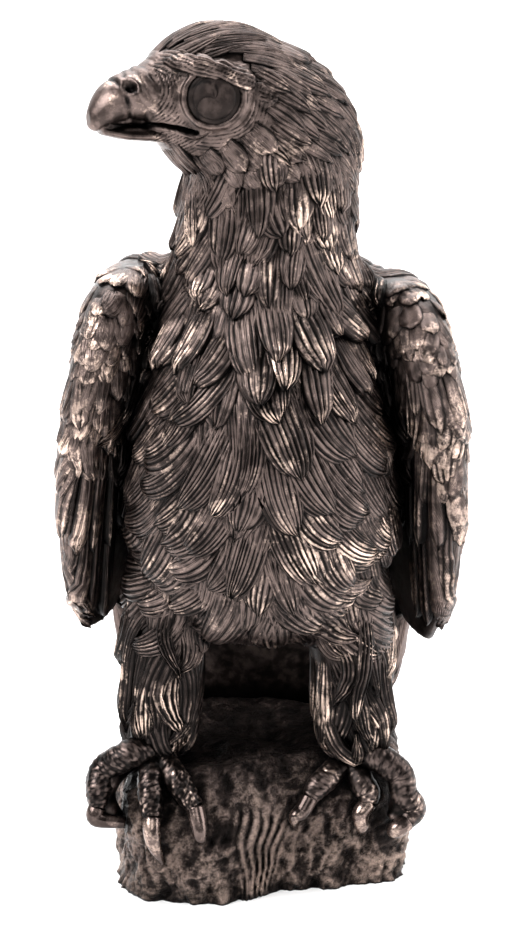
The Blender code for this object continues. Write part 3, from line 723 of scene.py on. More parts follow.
    def zone(self, front, rear, gap, first, last, style, droop, side=1, bright=0.5, spacing=0.72):
        """Staggered rows of feathers over part of the head, which run back and droop."""
        count = max(1, round(abs(rear - front) / gap))
        for i in range(count + 1):
            ahead = front + (rear - front) * i / count
            arc = math.radians(last - first) * sum(row_at(SKULL, ahead)[2:4]) / 2
            across = max(1, round(arc / (style[1] * spacing)))
            for k in range(across):
                angle = side * staggered(k, i, across, first, last)
                station = min(max(ahead + luck.uniform(-0.25, 0.25) * gap, -24.4), 24.5)
                root = skull_point(station, angle)
                if (root - eye_centre(side)).length < EYE_CLEARANCE:
                    continue
                back = (skull_point(max(station - 1.5, -26.4), angle) - root).normalized()
                self.lay(
                    root,
                    back + Vector((0, 0, -droop - 1.4 * eased(-8, -22, station))),
                    style,
                    curl=luck.normal(0, 0.1),
                    stretch=luck.uniform(0.85, 1.15),
                    bright=bright * luck.uniform(0.35, 1.3),
                    widen=luck.uniform(0.88, 1.12),
                )


def tube(shells, path, radii, bumps, sides, step, wear):
    """A round limb through points in metres, whose surface is moved out by bumps(ring, along, out)."""
    smooth = np.array(between([(*point, radius) for point, radius in zip(path, radii)], 12))
    lengths = np.concatenate(([0], np.cumsum(np.linalg.norm(np.diff(smooth[:, :3], axis=0), axis=1))))
    count = max(8, int(lengths[-1] / step))
    stations = np.linspace(0, lengths[-1], count)
    line = np.stack([np.interp(stations, lengths, smooth[:, k]) for k in range(3)], 1)
    radius = np.interp(stations, lengths, smooth[:, 3])
    ahead = np.gradient(line, axis=0)
    ahead /= np.linalg.norm(ahead, axis=1)[:, None]
    side = np.cross(ahead[0], (0.0, 0.0, 1.0) if abs(ahead[0][2]) < 0.9 else (0.0, 1.0, 0.0))
    rings, rounds = [], np.linspace(0, math.tau, sides, endpoint=False)
    relief = []
    for i in range(count):
        side = side - ahead[i] * side.dot(ahead[i])
        side /= np.linalg.norm(side)
        other = np.cross(ahead[i], side)
        out = np.outer(np.cos(rounds), side) + np.outer(np.sin(rounds), other)
        ring = line[i] + out * radius[i]
        lift, mark = bumps(ring, stations[i], out)
        rings.append(ring + out * lift[:, None])
        relief.append(mark)
    relief = np.concatenate(relief)
    shells.add_rings(np.concatenate(rings), sides, relief=relief, wear=wear * relief, along=0.5)


def pebbles(size, height):
    """Knobbly scales."""

    def bumps(ring, along, out):
        lift, mark = np.empty(len(ring)), np.empty(len(ring))
        for k, point in enumerate(ring):
            near, _ = noise.voronoi(Vector(point) / size)
            lift[k] = height * (0.5 - near[0] * 1.3)
            mark[k] = min(1.0, max(0.0, (near[1] - near[0]) * 2.2))
        return lift, mark

    return bumps


def ridges(pitch, height):
    """Cross ridges over the back of a toe, and knobbly scales at its sides."""
    knobs = pebbles(0.0011, height * 0.8)

    def bumps(ring, along, out):
        lift, mark = knobs(ring, along, out)
        facing = np.clip(out @ np.array((0, -0.65, 0.76)), 0, 1)
        share = eased(0.35, 0.6, facing)
        wave = furrows(along / pitch + 0.9 * noises(ring, 0.0016))
        rough = lift * (1 - 0.7 * share) + share * height * (wave - 0.4)
        return rough, mark * (1 - 0.6 * share) + 0.6 * share * wave

    return bumps


def sheen(ring, along, out):
    return np.zeros(len(ring)), np.full(len(ring), 0.9)


def gripping(point, tree, radius, reach):
    """The point drawn in until it is near the rock, or pushed out until it is clear of it."""
    near, normal, _, _ = tree.find_nearest(point)
    gap = (point - near).dot(normal)
    if gap > reach * radius:
        return near + normal * reach * radius
    if gap < 0.55 * radius:
        return near + normal * 0.55 * radius
    return point


def foot(toes, claws, parts, tree, side):
    """Three front toes and a hind toe with a claw each, and the shank that they spread from."""
    toe, claw = TOE_RADIUS * UNIT, CLAW_RADIUS * UNIT
    ankle = place(*parts["ankle"])
    skin = pebbles(0.00125, 0.00042) if side < 0 else ridges(0.0016, 0.00026)
    shank = [ankle + Vector(step) for step in ((0, 0.002, 0.008), (0, 0, 0.002), (0, -0.0005, -0.0026))]
    tube(toes, shank, [toe * 1.5, toe * 1.75, toe * 1.5], skin, 34, 0.00032, 0.6)
    for part, points in parts.items():
        if part == "ankle":
            continue
        if part == "pad":
            path = [place(*point) for point in points]
            tube(toes, path, [0.003] * len(path), pebbles(0.004, 0.0008), 24, 0.0006, 0.2)
            continue
        reach = OUTER_TOE_GRIP if part.startswith("outer") else TOE_GRIP
        path = [gripping(place(*point), tree, toe, reach) for point in points]
        if part.endswith("claw"):
            path[-1] = gripping(path[-1], tree, claw, CLAW_TIP_GRIP)
            shares = (1.25, 1.2, 0.8) if part.startswith("outer") else (1.2, 1.15, 0.85, 0.30)
            radii = [claw * share for share in shares[-len(path):]]
            tube(claws, path, radii, sheen, 24, 0.0004, 0.3)
        else:
            path.insert(0, ankle)
            thick = 1.12 if part == "outer" else 1.0
            last = len(path) - 1
            radii = [thick * toe * (1.2 - 0.2 * k / last) for k in range(last)] + [0.76 * toe]
            tube(toes, path, radii, skin, 30, 0.00030, 0.6)


def rock_edge(level, angle):
    """The rock's edge at a share of its height: a rounded box with a skewed front that slopes at the top."""
    c, s = math.cos(angle), math.sin(angle)
    x = math.copysign(abs(c) ** (2 / 4.5), c)
    y = math.copysign(abs(s) ** (2 / 4.5), s)
    slope = ROCK_EDGE_SLOPE * max(0.0, (level - 0.5) / 0.5) ** 1.6
    front = ROCK_DEPTH * (1 - ROCK_BACK - ROCK_SKEW * math.tanh(3 * x)) - slope
    back = ROCK_DEPTH * ROCK_BACK
    return Vector((x * ROCK_WIDTH / 2 * (1 - 0.05 * level**4), y * (front if y < 0 else back), 0))


def rock_strands(point, level):
    """The strands that flow down the rock's front and meet at its foot: their share and their height."""
    spread = 0.040 + 0.075 * level
    middle = -0.030 + 0.045 * level + 0.010 * math.sin(7 * level)
    share = (point.x / ROCK_WIDTH - middle) / spread
    wave = share * 2.4 + 0.7 * noise.noise(point * 140) + 0.5 * math.sin(5 * level)
    mask = eased(1.5, 0.6, abs(share)) * eased(0.0, 0.35, -point.y / ROCK_DEPTH) * eased(0.85, 0.55, level)
    return mask, furrows(wave, 0.65)


def round_edge(sides):
    """Angles that stand at equal steps along the rock's outline."""
    shares = np.linspace(0, 1, 500) ** (4.5 / 2)
    quarter = np.sort(np.concatenate((np.arccos(shares), np.arcsin(shares))))
    angles = np.concatenate([quarter + k * math.pi / 2 for k in range(4)])
    outline = np.array([tuple(rock_edge(0, angle)) for angle in angles])
    run = np.concatenate(([0], np.cumsum(np.linalg.norm(np.diff(outline, axis=0), axis=1))))
    return np.interp(np.linspace(0, run[-1], sides, endpoint=False), run, angles)


def rock(name, sides, fine):
    """A rough block with chipped faces and flowing strands down the middle of its front."""
    levels = np.linspace(0, 0.9, 64 if fine else 10)
    profile = [(level, 1.0) for level in levels]
    profile += [(0.915, 0.995), (0.93, 0.985), (0.96, 0.97), (0.98, 0.94), (1.0, 0.9)]
    for level, outer, inner, count in ((1.0, 0.88, 0.72, 6), (0.99, 0.69, 0.5, 6), (0.97, 0.46, 0.1, 10)):
        profile += [(level, share) for share in np.linspace(outer, inner, count)]
    points, relief, wear = [], [], []
    turns = round_edge(sides)
    for level, share in profile:
        for angle in turns:
            point = rock_edge(max(level, 0.0), angle) * share
            point.z = level * ROCK_HEIGHT
            outward = Vector((math.cos(angle), math.sin(angle), 0)) * (0.2 + 0.8 * share**4)
            outward.z = 1 - share**3
            lump = noise.fractal(point / ROCK_LUMP, 1.0, 2.0, 3)
            lift, mark = lump * ROCK_ROUGHNESS, 0.6
            if fine:
                warped = point + Vector(noise.turbulence_vector(point * 130, 2, False)) * 0.0022
                flow = Vector((warped.x, warped.y, warped.z * 0.45))
                broad = noise.ridged_multi_fractal(warped / 0.011, 0.9, 2.1, 3, 1.0, 2.0)
                fibres = noise.ridged_multi_fractal(flow / 0.0034, 0.8, 2.2, 4, 1.0, 2.0)
                pits = noise.voronoi(warped / 0.0030)[0][0]
                grain = noise.fractal(point / 0.0009, 0.8, 2.0, 2)
                mask, strand = rock_strands(point, level)
                rough = 0.0012 * (broad - 1.1) + 0.00060 * (fibres - 1.1) + 0.00014 * grain
                rough -= 0.0011 * max(0.0, 0.34 - pits)
                side_on = share**4
                lift += rough * (1 - 0.8 * mask) * (0.45 + 0.55 * side_on)
                lift += mask * side_on * 0.0010 * (strand - 0.25)
                plain = 0.45 + 0.35 * (fibres - 0.8) + 0.25 * (broad - 0.9)
                plain += 0.12 * grain - 0.8 * max(0.0, 0.3 - pits)
                mark = (1 - mask) * min(1, max(0, plain)) * (0.5 + 0.5 * side_on) + mask * strand
            moved = point + outward * lift
            moved.z = max(0.0, moved.z) if level > 0 else 0.0
            points.append(moved)
            relief.append(mark)
            wear.append((0.52 + 0.38 * (1 - level) ** 2) * (0.3 + 0.7 * mark) * (0.25 + 0.75 * share**4))
    shells = Shells()
    shells.add_rings(np.array([tuple(point) for point in points]), sides, relief=relief, wear=wear)
    return shells.piece(name)


def face():
    """The beak, cere, lids and brow and the fine lines round them, as one body over the skull's front."""
    front = [(-6, 0, -5.6, 12.0, 15.0, 0), *(row for row in SKULL if row[0] >= -3)]
    parts = [loft("front", front, in_head)]
    parts += [loft("beak", rows, in_head, 6) for rows in (UPPER_BEAK, LOWER_BEAK, MOUTH_CORE)]
    for side in (1, -1):
        lid = []
        for k in range(25):
            turn = math.tau * k / 24
            across = eye_axes(side)[1] * LID_RING[0] * math.cos(turn) * UNIT
            over = Vector((0, 0, LID_RING[1] * math.sin(turn) * UNIT))
            lid.append(eye_centre(side) + across + over)
        parts.append(limb("lid", lid, [LID_RADIUS * UNIT] * len(lid)))
        share, rise = NEAR_BROW if side > 0 else FAR_BROW
        line = [in_head(a, side * share * b, c + rise) for a, b, c in BROW]
        parts.append(limb("brow", line, [r * UNIT for r in BROW_RADII]))
    made = fused("face", parts, FACE_VOXEL, 3)
    mesh = made.data
    points = read(mesh, "co")
    ahead, side, up = head_shares(points)
    spread = np.abs(side)
    tipped = ahead - 0.35 * (up - 1)
    eye_far = np.sqrt((ahead - EYE[0]) ** 2 + (up - EYE[2]) ** 2)
    nose_far = np.sqrt((ahead - NOSTRIL[0]) ** 2 + (up - NOSTRIL[1]) ** 2)
    brow_far = np.minimum.reduce([np.hypot(ahead - a, up - c) for a, _, c in BROW])
    mouth_far = np.full(len(points), 99.0)
    for (a0, u0), (a1, u1) in zip(MOUTH, MOUTH[1:]):
        along = np.array((a1 - a0, u1 - u0))
        share = np.clip(((ahead - a0) * along[0] + (up - u0) * along[1]) / along.dot(along), 0, 1)
        far = np.hypot(ahead - a0 - share * along[0], up - u0 - share * along[1])
        mouth_far = np.minimum(mouth_far, far)
    off_mouth = eased(0.8, 1.6, mouth_far)

    # Fine lines before and under the eye and on the crown
    coarse = np.array([noise.fractal(Vector(p) / 0.0022, 0.9, 2.0, 3) for p in points])
    warp = noises(points, 0.004)
    sideways = eased(1.5, 4.5, spread)
    lores = eased(5.8, 6.6, nose_far) * eased(21.5, 19.0, nose_far) * eased(7.2, 8.0, eye_far) * sideways
    lores *= eased(7.6, 8.8, ahead) * eased(24.6, 23.0, ahead) * off_mouth
    pouch = eased(7.4, 8.2, eye_far) * eased(13.5, 11.5, eye_far) * eased(0.5, -1.0, up - EYE[2]) * sideways
    pouch *= 1 - eased(17, 19, ahead)
    crown = 0.8 * eased(3.0, 6.0, up - 6.5) * eased(22.0, 19.5, ahead)
    line = np.where(pouch >= crown, furrows(eye_far * 1.15 + 0.4 * warp), furrows(side + 0.8 * warp))
    line = np.where(lores >= np.maximum(pouch, crown), furrows(nose_far * 1.3 + 0.5 * warp), line)

    # The cere with its edge and nostril, the gape, the beak's horn and the strands of the brow
    cere_height = eased(-4.2, -2.8, up) * off_mouth
    cere = cere_height * eased(22.0, 23.2, ahead) * eased(30.6, 29.8, tipped)
    edge = cere_height * np.exp(-(((tipped - 30.0) / 0.45) ** 2))
    hole = np.exp(-((nose_far / 0.95) ** 2)) * eased(2.0, 4.0, spread)
    rim = np.exp(-(((nose_far - 1.7) / 0.6) ** 2)) * eased(2.0, 4.0, spread)
    folds = furrows((ahead - 0.5 * up + 1.2 * warp) / 2.6, 0.8)
    gape = eased(0.8, 0.2, mouth_far) * eased(2.2, 3.2, spread) * eased(33.8, 32.8, ahead)
    horn = eased(29.0, 31.0, tipped)
    fold = eased(3.6, 2.2, brow_far) * sideways
    strand = furrows(up - 0.4 * ahead + 0.7 * warp, 0.7)

    lines = np.maximum(lores, np.maximum(pouch, crown)) * (1 - fold)
    lift = 0.00036 * lines * (line - 0.6) + 0.00012 * coarse * (1 - 0.9 * horn) * (1 - 0.7 * cere)
    lift += 0.00042 * fold * (strand - 0.6) + 0.00008 * fold * coarse
    lift += cere * 0.00035 * (folds - 0.45) - 0.0018 * hole + 0.00035 * rim - 0.0017 * gape - 0.0006 * edge
    chin = eased(-4.5, -7.5, up) * eased(20, 16, ahead) * eased(0.8, 2.0, mouth_far)
    under = np.maximum(eased(8.2, 10.0, up) * eased(22.0, 19.5, ahead), chin)
    under = np.maximum(under, eased(6.5, 3.5, ahead)) * (1 - fold)
    lift = lift * (1 - 0.6 * under) - 0.0008 * under
    points = points + read(mesh, "normal") * lift[:, None]
    write(mesh, points)

    relief = 1 - lines * (1 - line) - 1.2 * hole - 1.3 * gape - 0.6 * edge - 0.4 * cere * (1 - folds)
    relief += 0.3 * coarse
    relief = np.clip(relief - 0.9 * fold * (1 - strand), 0, 1)
    patches = eased(-0.05, 0.25, noises(points, 0.0035))
    wear = 0.75 * eased(3.2, 1.6, brow_far) * sideways * eased(2, 6, ahead)
    wear += 0.16 * horn * eased(-3, 3, up) + 0.18 * cere
    wear += 0.45 * eased(4, 9, np.abs(ahead - 16)) * eased(-5.0, -8.0, up) * sideways
    wear = (0.16 + wear * patches) * (1 - 0.8 * eased(1.4, 0.6, mouth_far))
    marked(mesh, relief, np.clip(wear * (0.5 + 0.5 * strand), 0, 1))
    return made


def eyeballs():
    """Smooth round eyes with a shallow ring round the pupil."""
    bm = bmesh.new()
    rings = []
    for side in (1, -1):
        outward = eye_axes(side)[0]
        centre = eye_centre(side) - outward * EYE_SINK * UNIT
        turned = outward.to_track_quat("Z", "Y")
        made = bmesh.ops.create_uvsphere(bm, u_segments=48, v_segments=90, radius=EYE_RADIUS * UNIT)
        for vert in made["verts"]:
            reach = math.degrees(vert.co.angle(Vector((0, 0, 1))))
            ring = math.exp(-(((reach - 45) / 3.2) ** 2)) + 0.7 * math.exp(-((reach / 6) ** 2))
            rings.append(ring)
            offset = turned @ vert.co.normalized() * (EYE_RADIUS - 0.30 * ring) * UNIT
            vert.co = centre + offset - outward * offset.dot(outward) * EYE_FLATNESS
    obj = new_object("eyes", bm)
    marked(obj.data, 0.36 - 0.32 * np.clip(rings, 0, 1), 0.1)
    return obj


class Bronze:
    """A material of patinated bronze, whose nodes are added one by one."""

    def __init__(self, name):
        self.material = bpy.data.materials.new(name)
        self.material.use_nodes = True
        self.tree = self.material.node_tree
        self.where = self.node("TexCoord", {}, "Object")

    def fill(self, node, values):
        """Gives inputs of a node their values, or links them to another node."""
        for key, value in values.items():
            if isinstance(value, bpy.types.NodeSocket):
                self.tree.links.new(value, node.inputs[key])
            else:
                node.inputs[key].default_value = value

    def node(self, kind, values, output=0, **settings):
        """A new node's output."""
        made = self.tree.nodes.new("ShaderNode" + kind)
        for name, value in settings.items():
            setattr(made, name, value)
        self.fill(made, values)
        return made.outputs[output]

    def math(self, operation, first, second=0.0, clamp=False):
        return self.node("Math", {0: first, 1: second}, operation=operation, use_clamp=clamp)

    def product(self, first, *others):
        for other in others:
            first = self.math("MULTIPLY", first, other)
        return first

    def mark(self, name):
        return self.node("Attribute", {}, "Fac", attribute_name=name)

    def noise(self, scale, detail, low, high, roughness=0.55):
        """Noise between 0 and 1, with all that lies under low or over high levelled off."""
        values = {"Vector": self.where, "Scale": scale, "Detail": detail, "Roughness": roughness}
        return self.ramp(self.node("TexNoise", values, "Fac"), low, high)

    def streaks(self, across, along):
        """Noise that is drawn out along each feather."""
        x, y = self.product(self.mark("across"), across), self.product(self.mark("along"), along)
        joined = self.node("CombineXYZ", {"X": x, "Y": y})
        return self.node("TexNoise", {"Vector": joined, "Scale": 1.0, "Detail": 2.0}, "Fac")

    def ramp(self, value, low, high, to_low=0.0, to_high=1.0):
        values = {"Value": value, "From Min": low, "From Max": high, "To Min": to_low, "To Max": to_high}
        return self.node("MapRange", values, "Result", interpolation_type="SMOOTHSTEP")

    def mix(self, factor, first, second):
        return self.node("Mix", {"Factor": factor, "A": first, "B": second}, "Result", data_type="RGBA")

    def occlusion(self, distance):
        return self.node("AmbientOcclusion", {"Distance": distance}, "AO", samples=6)

    def bump(self, height, distance, strength, **normal):
        values = {"Height": height, "Distance": distance, "Strength": strength, **normal}
        return self.node("Bump", values, "Normal")


GROOVE = (0.003, 0.0022, 0.002, 1)
DARK = (0.026, 0.019, 0.017, 1)
BODY = (0.150, 0.110, 0.098, 1)
RUBBED = (0.76, 0.57, 0.47, 1)


def bronze(
    name,
    threshold=0.36,
    strength=1.7,
    hairs=0.0,
    barbs=0.0,
    smooth=0.35,
    rubbed=0.26,
    grain=0.25,
    blotch=1.0,
    crust=0.0,
    tone=1.0,
    pitch=420,
    speckle=0.16,
):
    """Dark patina that is rubbed bright on high spots, with hair lines or barbs where a feather has them;
    occlusion paints shade under lifted feather tips and in the deep gaps between parts.
    """
    look = Bronze(name)
    relief = look.mark("relief")
    mottle = look.noise(pitch, 3, 0.34, 0.68)
    specks = look.noise(1900, 3, 0.36, 0.66, 0.65)
    # Painted shade: occlusion within 5 mm darkens the colour under lifted feather tips and in creases, where
    # it also stands for the dark patina there; occlusion within 30 mm darkens the deep gaps between wings,
    # chest, legs and tail.
    patina_and_shade = look.math("POWER", look.occlusion(0.005), 2.0)
    patina_and_shade = look.product(patina_and_shade, look.ramp(look.occlusion(0.03), 0.15, 0.6, 0.48, 1.0))

    patches = look.ramp(look.noise(75, 2, 0.40, 0.62), 0, 1, 1 - 0.55 * blotch, 1 + 0.45 * blotch)
    worn = look.product(look.mark("wear"), look.ramp(relief, 0.15, 0.95, 0.25, 1.0), patches)
    if hairs:
        worn = look.product(worn, look.ramp(look.streaks(5.0, 2.2), 0.40, 0.62, 0.45, 1.25))
    worn = look.math("ADD", worn, look.ramp(mottle, 0, 1, -speckle, speckle))
    worn = look.math("ADD", worn, look.ramp(specks, 0, 1, -0.10, 0.10))
    # Less rubbing where the painted shade and the patina lie.
    worn = look.product(worn, look.ramp(patina_and_shade, 0.1, 0.75, 0.3, 1.0))
    mask = look.math("MULTIPLY", look.math("SUBTRACT", worn, threshold), strength, clamp=True)

    # The colour's level: the relief, darkened by the painted shade and the patina in hollows.
    level = look.product(look.ramp(relief, 0.0, 0.9, 0.08, 1.0), patina_and_shade)
    level = look.product(level, look.ramp(mottle, 0, 1, 0.66 * tone, 1.12 * tone))
    if hairs:
        fine = look.streaks(hairs, 2.6)
        level = look.product(level, look.ramp(fine, 0.36, 0.60, 0.62, 1.35))
    clouds = look.ramp(look.noise(130, 2, 0.38, 0.62), 0, 1, 0.70, 1.1)
    level = look.math("MULTIPLY", level, clouds, clamp=True)
    colour = look.mix(look.ramp(level, 0.0, 0.4), GROOVE, DARK)
    colour = look.mix(look.ramp(level, 0.25, 0.95), colour, BODY)
    rough = look.math("ADD", look.ramp(mask, 0, 1, smooth, rubbed), look.ramp(mottle, 0, 1, -0.06, 0.06))

    normal = look.bump(look.noise(2600, 2, 0.2, 0.8), 0.00012, grain)
    if crust:
        normal = look.bump(look.noise(pitch, 6, 0.30, 0.70, 0.68), 0.0006, crust, Normal=normal)
    if hairs:
        normal = look.bump(fine, 0.00045, 0.7, Normal=normal)
    if barbs:
        slant = look.product(look.math("ABSOLUTE", look.mark("across")), barbs * 0.3)
        wave = look.math("SINE", look.math("ADD", look.product(look.mark("along"), barbs), slant))
        normal = look.bump(wave, 0.00010, 0.5, Normal=normal)
    shader = {
        "Base Color": look.mix(mask, colour, RUBBED),
        "Metallic": look.ramp(mask, 0, 1, 0.88, 0.96),
        "Roughness": rough,
        "Normal": normal,
    }
    look.fill(look.tree.nodes["Principled BSDF"], shader)
    return look.material


def finished(obj, material):
    """Keeps a piece inside the solid's box, gives it its material and its place in the frame."""
    mesh = obj.data
    low, high = np.array(cad_low) + BOX_MARGIN, np.array(cad_high) - BOX_MARGIN
    low[2] = 0.0
    write(mesh, np.clip(read(mesh, "co"), low, high))
    mesh.materials.clear()
    mesh.materials.append(material)
    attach(obj, "root")
    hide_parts("eagle_on_rock")


def sunken(made):
    """Draws the skin in where the face lies over it."""
    mesh = made.data
    points = read(mesh, "co")
    ahead, _, up = head_shares(points)
    share = eased(-2.0, 2.0, ahead) * eased(-24, -20, up)
    write(mesh, points - read(mesh, "normal") * (FACE_SINK * share)[:, None])


def skin(wings, fans, thighs):
    """The bare form of the bird, on which the feathers are laid."""
    parts = [loft("torso", TORSO), loft("mantle", MANTLE), loft("tail", TAIL), loft("skull", SKULL, in_head)]
    for pair in (wings, fans, thighs):
        parts += [loft("side", rows) for rows in pair]
    made = fused("skin", parts, SKIN_VOXEL, 6)
    marked(made.data, 0.45, 0.2)
    return made


def bird():
    """The skin, the face and the eyes, and the feathers that lie on the skin."""
    left_wing = [(z - LEFT_WING_DROP, *row) for z, *row in WING]
    right_wing = mirrored(WING, WING_SHIFT, WING_DROP)
    right_wing = [(z, x - WING_TAPER * eased(118, 88, z), *row) for z, x, *row in right_wing]
    wings = (left_wing, right_wing)
    fans = (FLIGHT_FAN, mirrored(FLIGHT_FAN, FAN_SHIFT, FAN_DROP))
    thighs = (THIGH, mirrored(THIGH, THIGH_SHIFT, THIGH_DROP))
    body = skin(wings, fans, thighs)
    tree = tree_of(body)
    sunken(body)
    tufts = bronze("bronze_tufts", hairs=17, threshold=0.30)
    barbed = bronze("bronze_barbs", barbs=200, blotch=0.6)
    plates = bronze("bronze_plates", hairs=12, blotch=0.6, threshold=0.30)
    locks = bronze("bronze_locks", hairs=14, tone=0.52)
    finished(body, bronze("bronze_skin"))
    finished(face(), bronze("bronze_face", rubbed=0.27))
    finished(eyeballs(), bronze("bronze_eyes", threshold=0.9, smooth=0.58, grain=0.1))

    chest = Plumage(tree)
    chest.courses(TORSO, 138, 74, 7.0, -48, 48, UNDER, 10, 0.3, bright=0.4, spacing=0.80)
    chest.courses(TORSO, 134, 98, 6.0, -125, 125, CHEST, 22, 1.0, bright=0.8, spacing=0.82)
    chest.courses(TORSO, 93, 70, 5.2, -112, 112, BELLY, 38, 1.1, bright=0.65, spacing=0.80)
    hems = []
    for x in HEM:
        drop = 6.5 * math.exp(-((x / 5) ** 2)) + 6.0 * math.exp(-(((abs(x) - 14) / 3) ** 2))
        spot = (x, -3 - 21 * math.cos(x / 14), 70)
        hems.append((spot, (0.06 * x, 0.25, -1), 6 + 3 * luck.uniform() + drop))
    chest.fringe(hems, HEM_TUFT, 0.4)
    finished(chest.piece("chest_feathers"), tufts)

    neck = Plumage(tree)
    neck.courses(TORSO, 180.5, 140, 8.0, -180, 180, UNDER, 4, 0.1, bright=0.4, spacing=0.84)
    neck.courses(TORSO, 180, 150, 4.8, -180, 180, NECK, 4, 0.1, bright=0.8, spacing=0.80)
    neck.courses(TORSO, 145, 138, 5.6, -150, 150, RUFF, 8, 0.2, bright=0.85, spacing=0.80)
    finished(neck.piece("neck_feathers"), tufts)

    head = Plumage(tree)
    head.zone(21, -6, 5.4, -66, 66, CROWN, 0.0, bright=0.5, spacing=0.8)
    head.zone(-4, -22, 4.5, -62, 62, TUFT, 0.1, bright=0.6, spacing=0.72)
    head.zone(-22.5, -24.3, 1.8, -176, 176, NAPE, 1.2, bright=0.7, spacing=0.62)
    for side in (1, -1):
        head.zone(9, -22, 4.4, 52, 106, TEMPLE, 0.35, side, bright=0.7, spacing=0.70)
        head.zone(-6, -22, 4.4, 102, 174, NAPE, 0.7, side, bright=0.75, spacing=0.72)
        head.zone(20, 0, 4.6, 140, 178, THROAT, 0.7, side, bright=0.7)
        head.zone(13, -14, 3.4, 98, 150, PEBBLE, 0.5, side, bright=0.6, spacing=0.66)
    finished(head.piece("head_feathers"), tufts)

    for name, side, wing in (("left_wing", -1, wings[0]), ("right_wing", 1, wings[1])):
        scales = Plumage(tree)
        top = wing[0][0]
        capped = [(top + 0.4, *wing[0][1:3], 0.6, 1.4, wing[0][5]), *wing]
        edge = (top + 0.32, top + 0.05, 0.15)
        scales.courses(capped, *edge, -180, 180, CAP, side=side, bright=0.7, spacing=0.66)
        bright = 1.1 if side < 0 else 0.9
        scales.courses(wing, top - 0.5, 132, 3.2, -85, 165, SCALE, side=side, bright=bright, spacing=0.68)
        bright = 1.0 if side < 0 else 0.8
        scales.courses(wing, 129, 113, 4.2, -60, 155, COVERT, side=side, bright=bright, spacing=0.68)
        scales.strips(wing, 99, lambda reach: 61.5 - 0.05 * reach, (-24, 56), 5.6, side, STRIP, 0.75)
        scales.strips(
            wing, 115, lambda reach: 86 + 0.45 * max(-8, min(reach, 14)), (-22, 56), 5.4, side, STRIP, 0.9
        )
        for z, reach in ((122, -0.55), (105, -0.50)):
            outer = [(z - 1.5 * k, reach + 0.28 * k, 26.0, 6.4) for k in range(5)]
            scales.flight(wing, outer, side * 90, side, OUTER, 0.8)
        finished(scales.piece(name), plates if side < 0 else barbed)

    back = Plumage(tree)
    for side, fan in zip((-1, 1), fans):
        fan_feathers = [(92 - 1.6 * k, 0.90 - 0.30 * k, 62 - 2.0 * k, 7.4) for k in range(7)]
        back.flight(fan, fan_feathers, 180, side, VANE, 0.5)
        places = 5 if side > 0 else 4  # the middle feather is laid once
        tail_feathers = [(66, -0.86 + 0.215 * k, 56 + 2.0 * (k % 2), 8.0) for k in range(places)]
        back.flight(TAIL, tail_feathers, 180, -side, VANE, 0.5)
        under = [(88, -0.8 + 0.4 * k, 56, 8.0) for k in range(5)]
        back.flight(fan, under, 0, side, VANE, 0.3)
        back.courses(fan, 113, 86, 6.0, 95, 265, BACK, bright=0.6, spacing=0.74)
    back.flight(TAIL, [(80, -0.8 + 0.4 * k, 70, 8.4) for k in range(5)], 0, 1, VANE, 0.2)
    back.courses(MANTLE, 150, 72, 6.0, 84, 276, BACK, bright=0.6, spacing=0.74)
    finished(back.piece("back_feathers"), barbed)

    legs = Plumage(tree)
    for thigh, side in zip(thighs, (-1, 1)):
        legs.courses(thigh, 84, 49, 7.2, -180, 180, LOCK, 5, 0.15, bright=1.15, spacing=0.70, twist=0.26)
    finished(legs.piece("leg_feathers"), locks)


def stone_and_feet():
    """The rock, and the feet that grip a plain copy of it."""
    block = rock("rock", 420, True)
    smooth_block = rock("rough_rock", 72, False)
    tree = tree_of(smooth_block)
    bpy.data.objects.remove(smooth_block)
    toes, claws = Shells(), Shells()
    foot(toes, claws, LEFT_FOOT, tree, -1)
    foot(toes, claws, RIGHT_FOOT, tree, 1)
    stone = {"threshold": 0.26, "strength": 0.85, "grain": 0.5, "blotch": 0.3, "crust": 1.0}
    finished(block, bronze("bronze_rock", pitch=750, speckle=0.07, **stone))
    finished(toes.piece("feet"), bronze("bronze_feet", threshold=0.45))
    horn = bronze("bronze_claws", threshold=0.30, smooth=0.24, rubbed=0.2, grain=0.06)
    finished(claws.piece("claws"), horn)


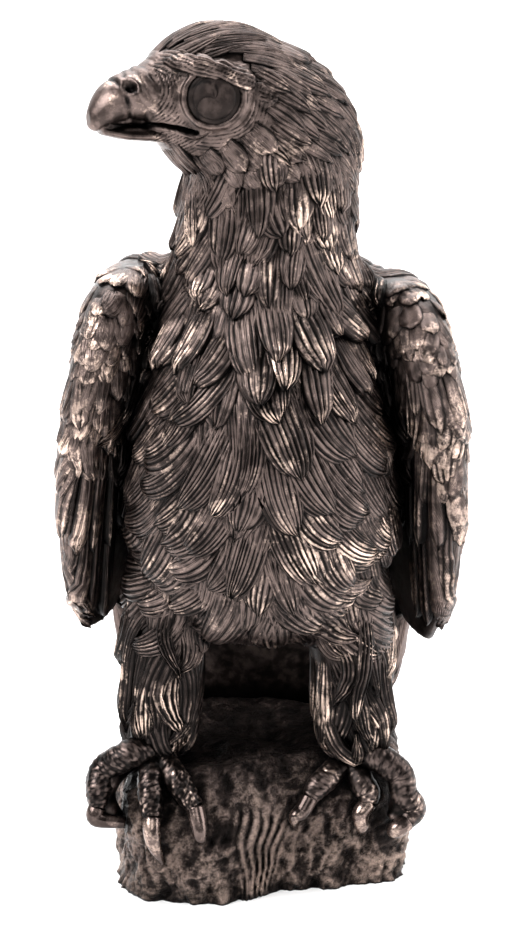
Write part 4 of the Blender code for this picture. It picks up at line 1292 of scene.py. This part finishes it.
def studio():
    """A pale floor that curves up into a backdrop, soft lights at both sides and above, and the camera."""
    bm = bmesh.new()
    bends = [math.radians(turn) for turn in range(6, 91, 6)]
    profile = [(-1.6, 0.0), (0.7, 0.0), *((0.7 + 0.5 * math.sin(a), 0.5 - 0.5 * math.cos(a)) for a in bends)]
    profile += [(1.2, 1.8)]
    lines = [[bm.verts.new((x, y, z)) for y, z in profile] for x in (-1.8, 1.8)]
    for k in range(len(profile) - 1):
        bm.faces.new((lines[0][k], lines[1][k], lines[1][k + 1], lines[0][k + 1]))
    floor = new_object("studio_floor", bm)
    for polygon in floor.data.polygons:
        polygon.use_smooth = True
    pale = bpy.data.materials.new("studio_white")
    pale.use_nodes = True
    shader = pale.node_tree.nodes["Principled BSDF"]
    shader.inputs["Base Color"].default_value = (0.95, 0.95, 0.95, 1)
    shader.inputs["Roughness"].default_value = 0.9
    floor.data.materials.append(pale)

    scene = bpy.context.scene
    lights = [
        ("left_panel", (-0.70, -0.45, 0.70), (0.0, 0.0, 0.10), 0.7, 0.6, 16.0),
        ("right_panel", (0.80, -0.05, 0.40), (0.0, 0.0, 0.10), 0.7, 0.8, 8.0),
        ("rim_panel", (0.0, 0.45, 0.85), (0.0, 0.0, 0.12), 1.2, 0.4, 9.0),
        ("front_fill", (0.15, -1.10, 0.65), (0.0, 0.0, 0.10), 0.5, 0.5, 2.4),
        ("backdrop_light", (0.0, 0.35, 1.1), (0.0, 1.1, 0.2), 1.6, 0.5, 22.0),
    ]
    for name, spot, target, wide, tall, power in lights:
        lamp = bpy.data.lights.new(name, "AREA")
        lamp.shape = "RECTANGLE"
        lamp.size, lamp.size_y = wide, tall
        lamp.energy = power
        obj = linked(name, lamp)
        obj.location = spot
        obj.rotation_euler = (Vector(target) - Vector(spot)).to_track_quat("-Z", "Y").to_euler()
    world = bpy.data.worlds.new("studio")
    world.use_nodes = True
    world.node_tree.nodes["Background"].inputs["Color"].default_value = (1, 1, 1, 1)
    world.node_tree.nodes["Background"].inputs["Strength"].default_value = 0.10
    scene.world = world
    scene.view_settings.view_transform = "Standard"

    lens = bpy.data.cameras.new("camera")
    lens.sensor_fit = "VERTICAL"
    lens.sensor_height = CAMERA_SENSOR
    lens.lens = CAMERA_LENS
    lens.clip_start, lens.clip_end = 0.01, 20
    camera = linked("camera", lens)
    camera.location = CAMERA_AT
    camera.rotation_euler = (math.radians(90 - CAMERA_PITCH_DEG), 0, 0)
    scene.camera = camera


bird()
stone_and_feet()
studio()

bpy.context.view_layer.update()
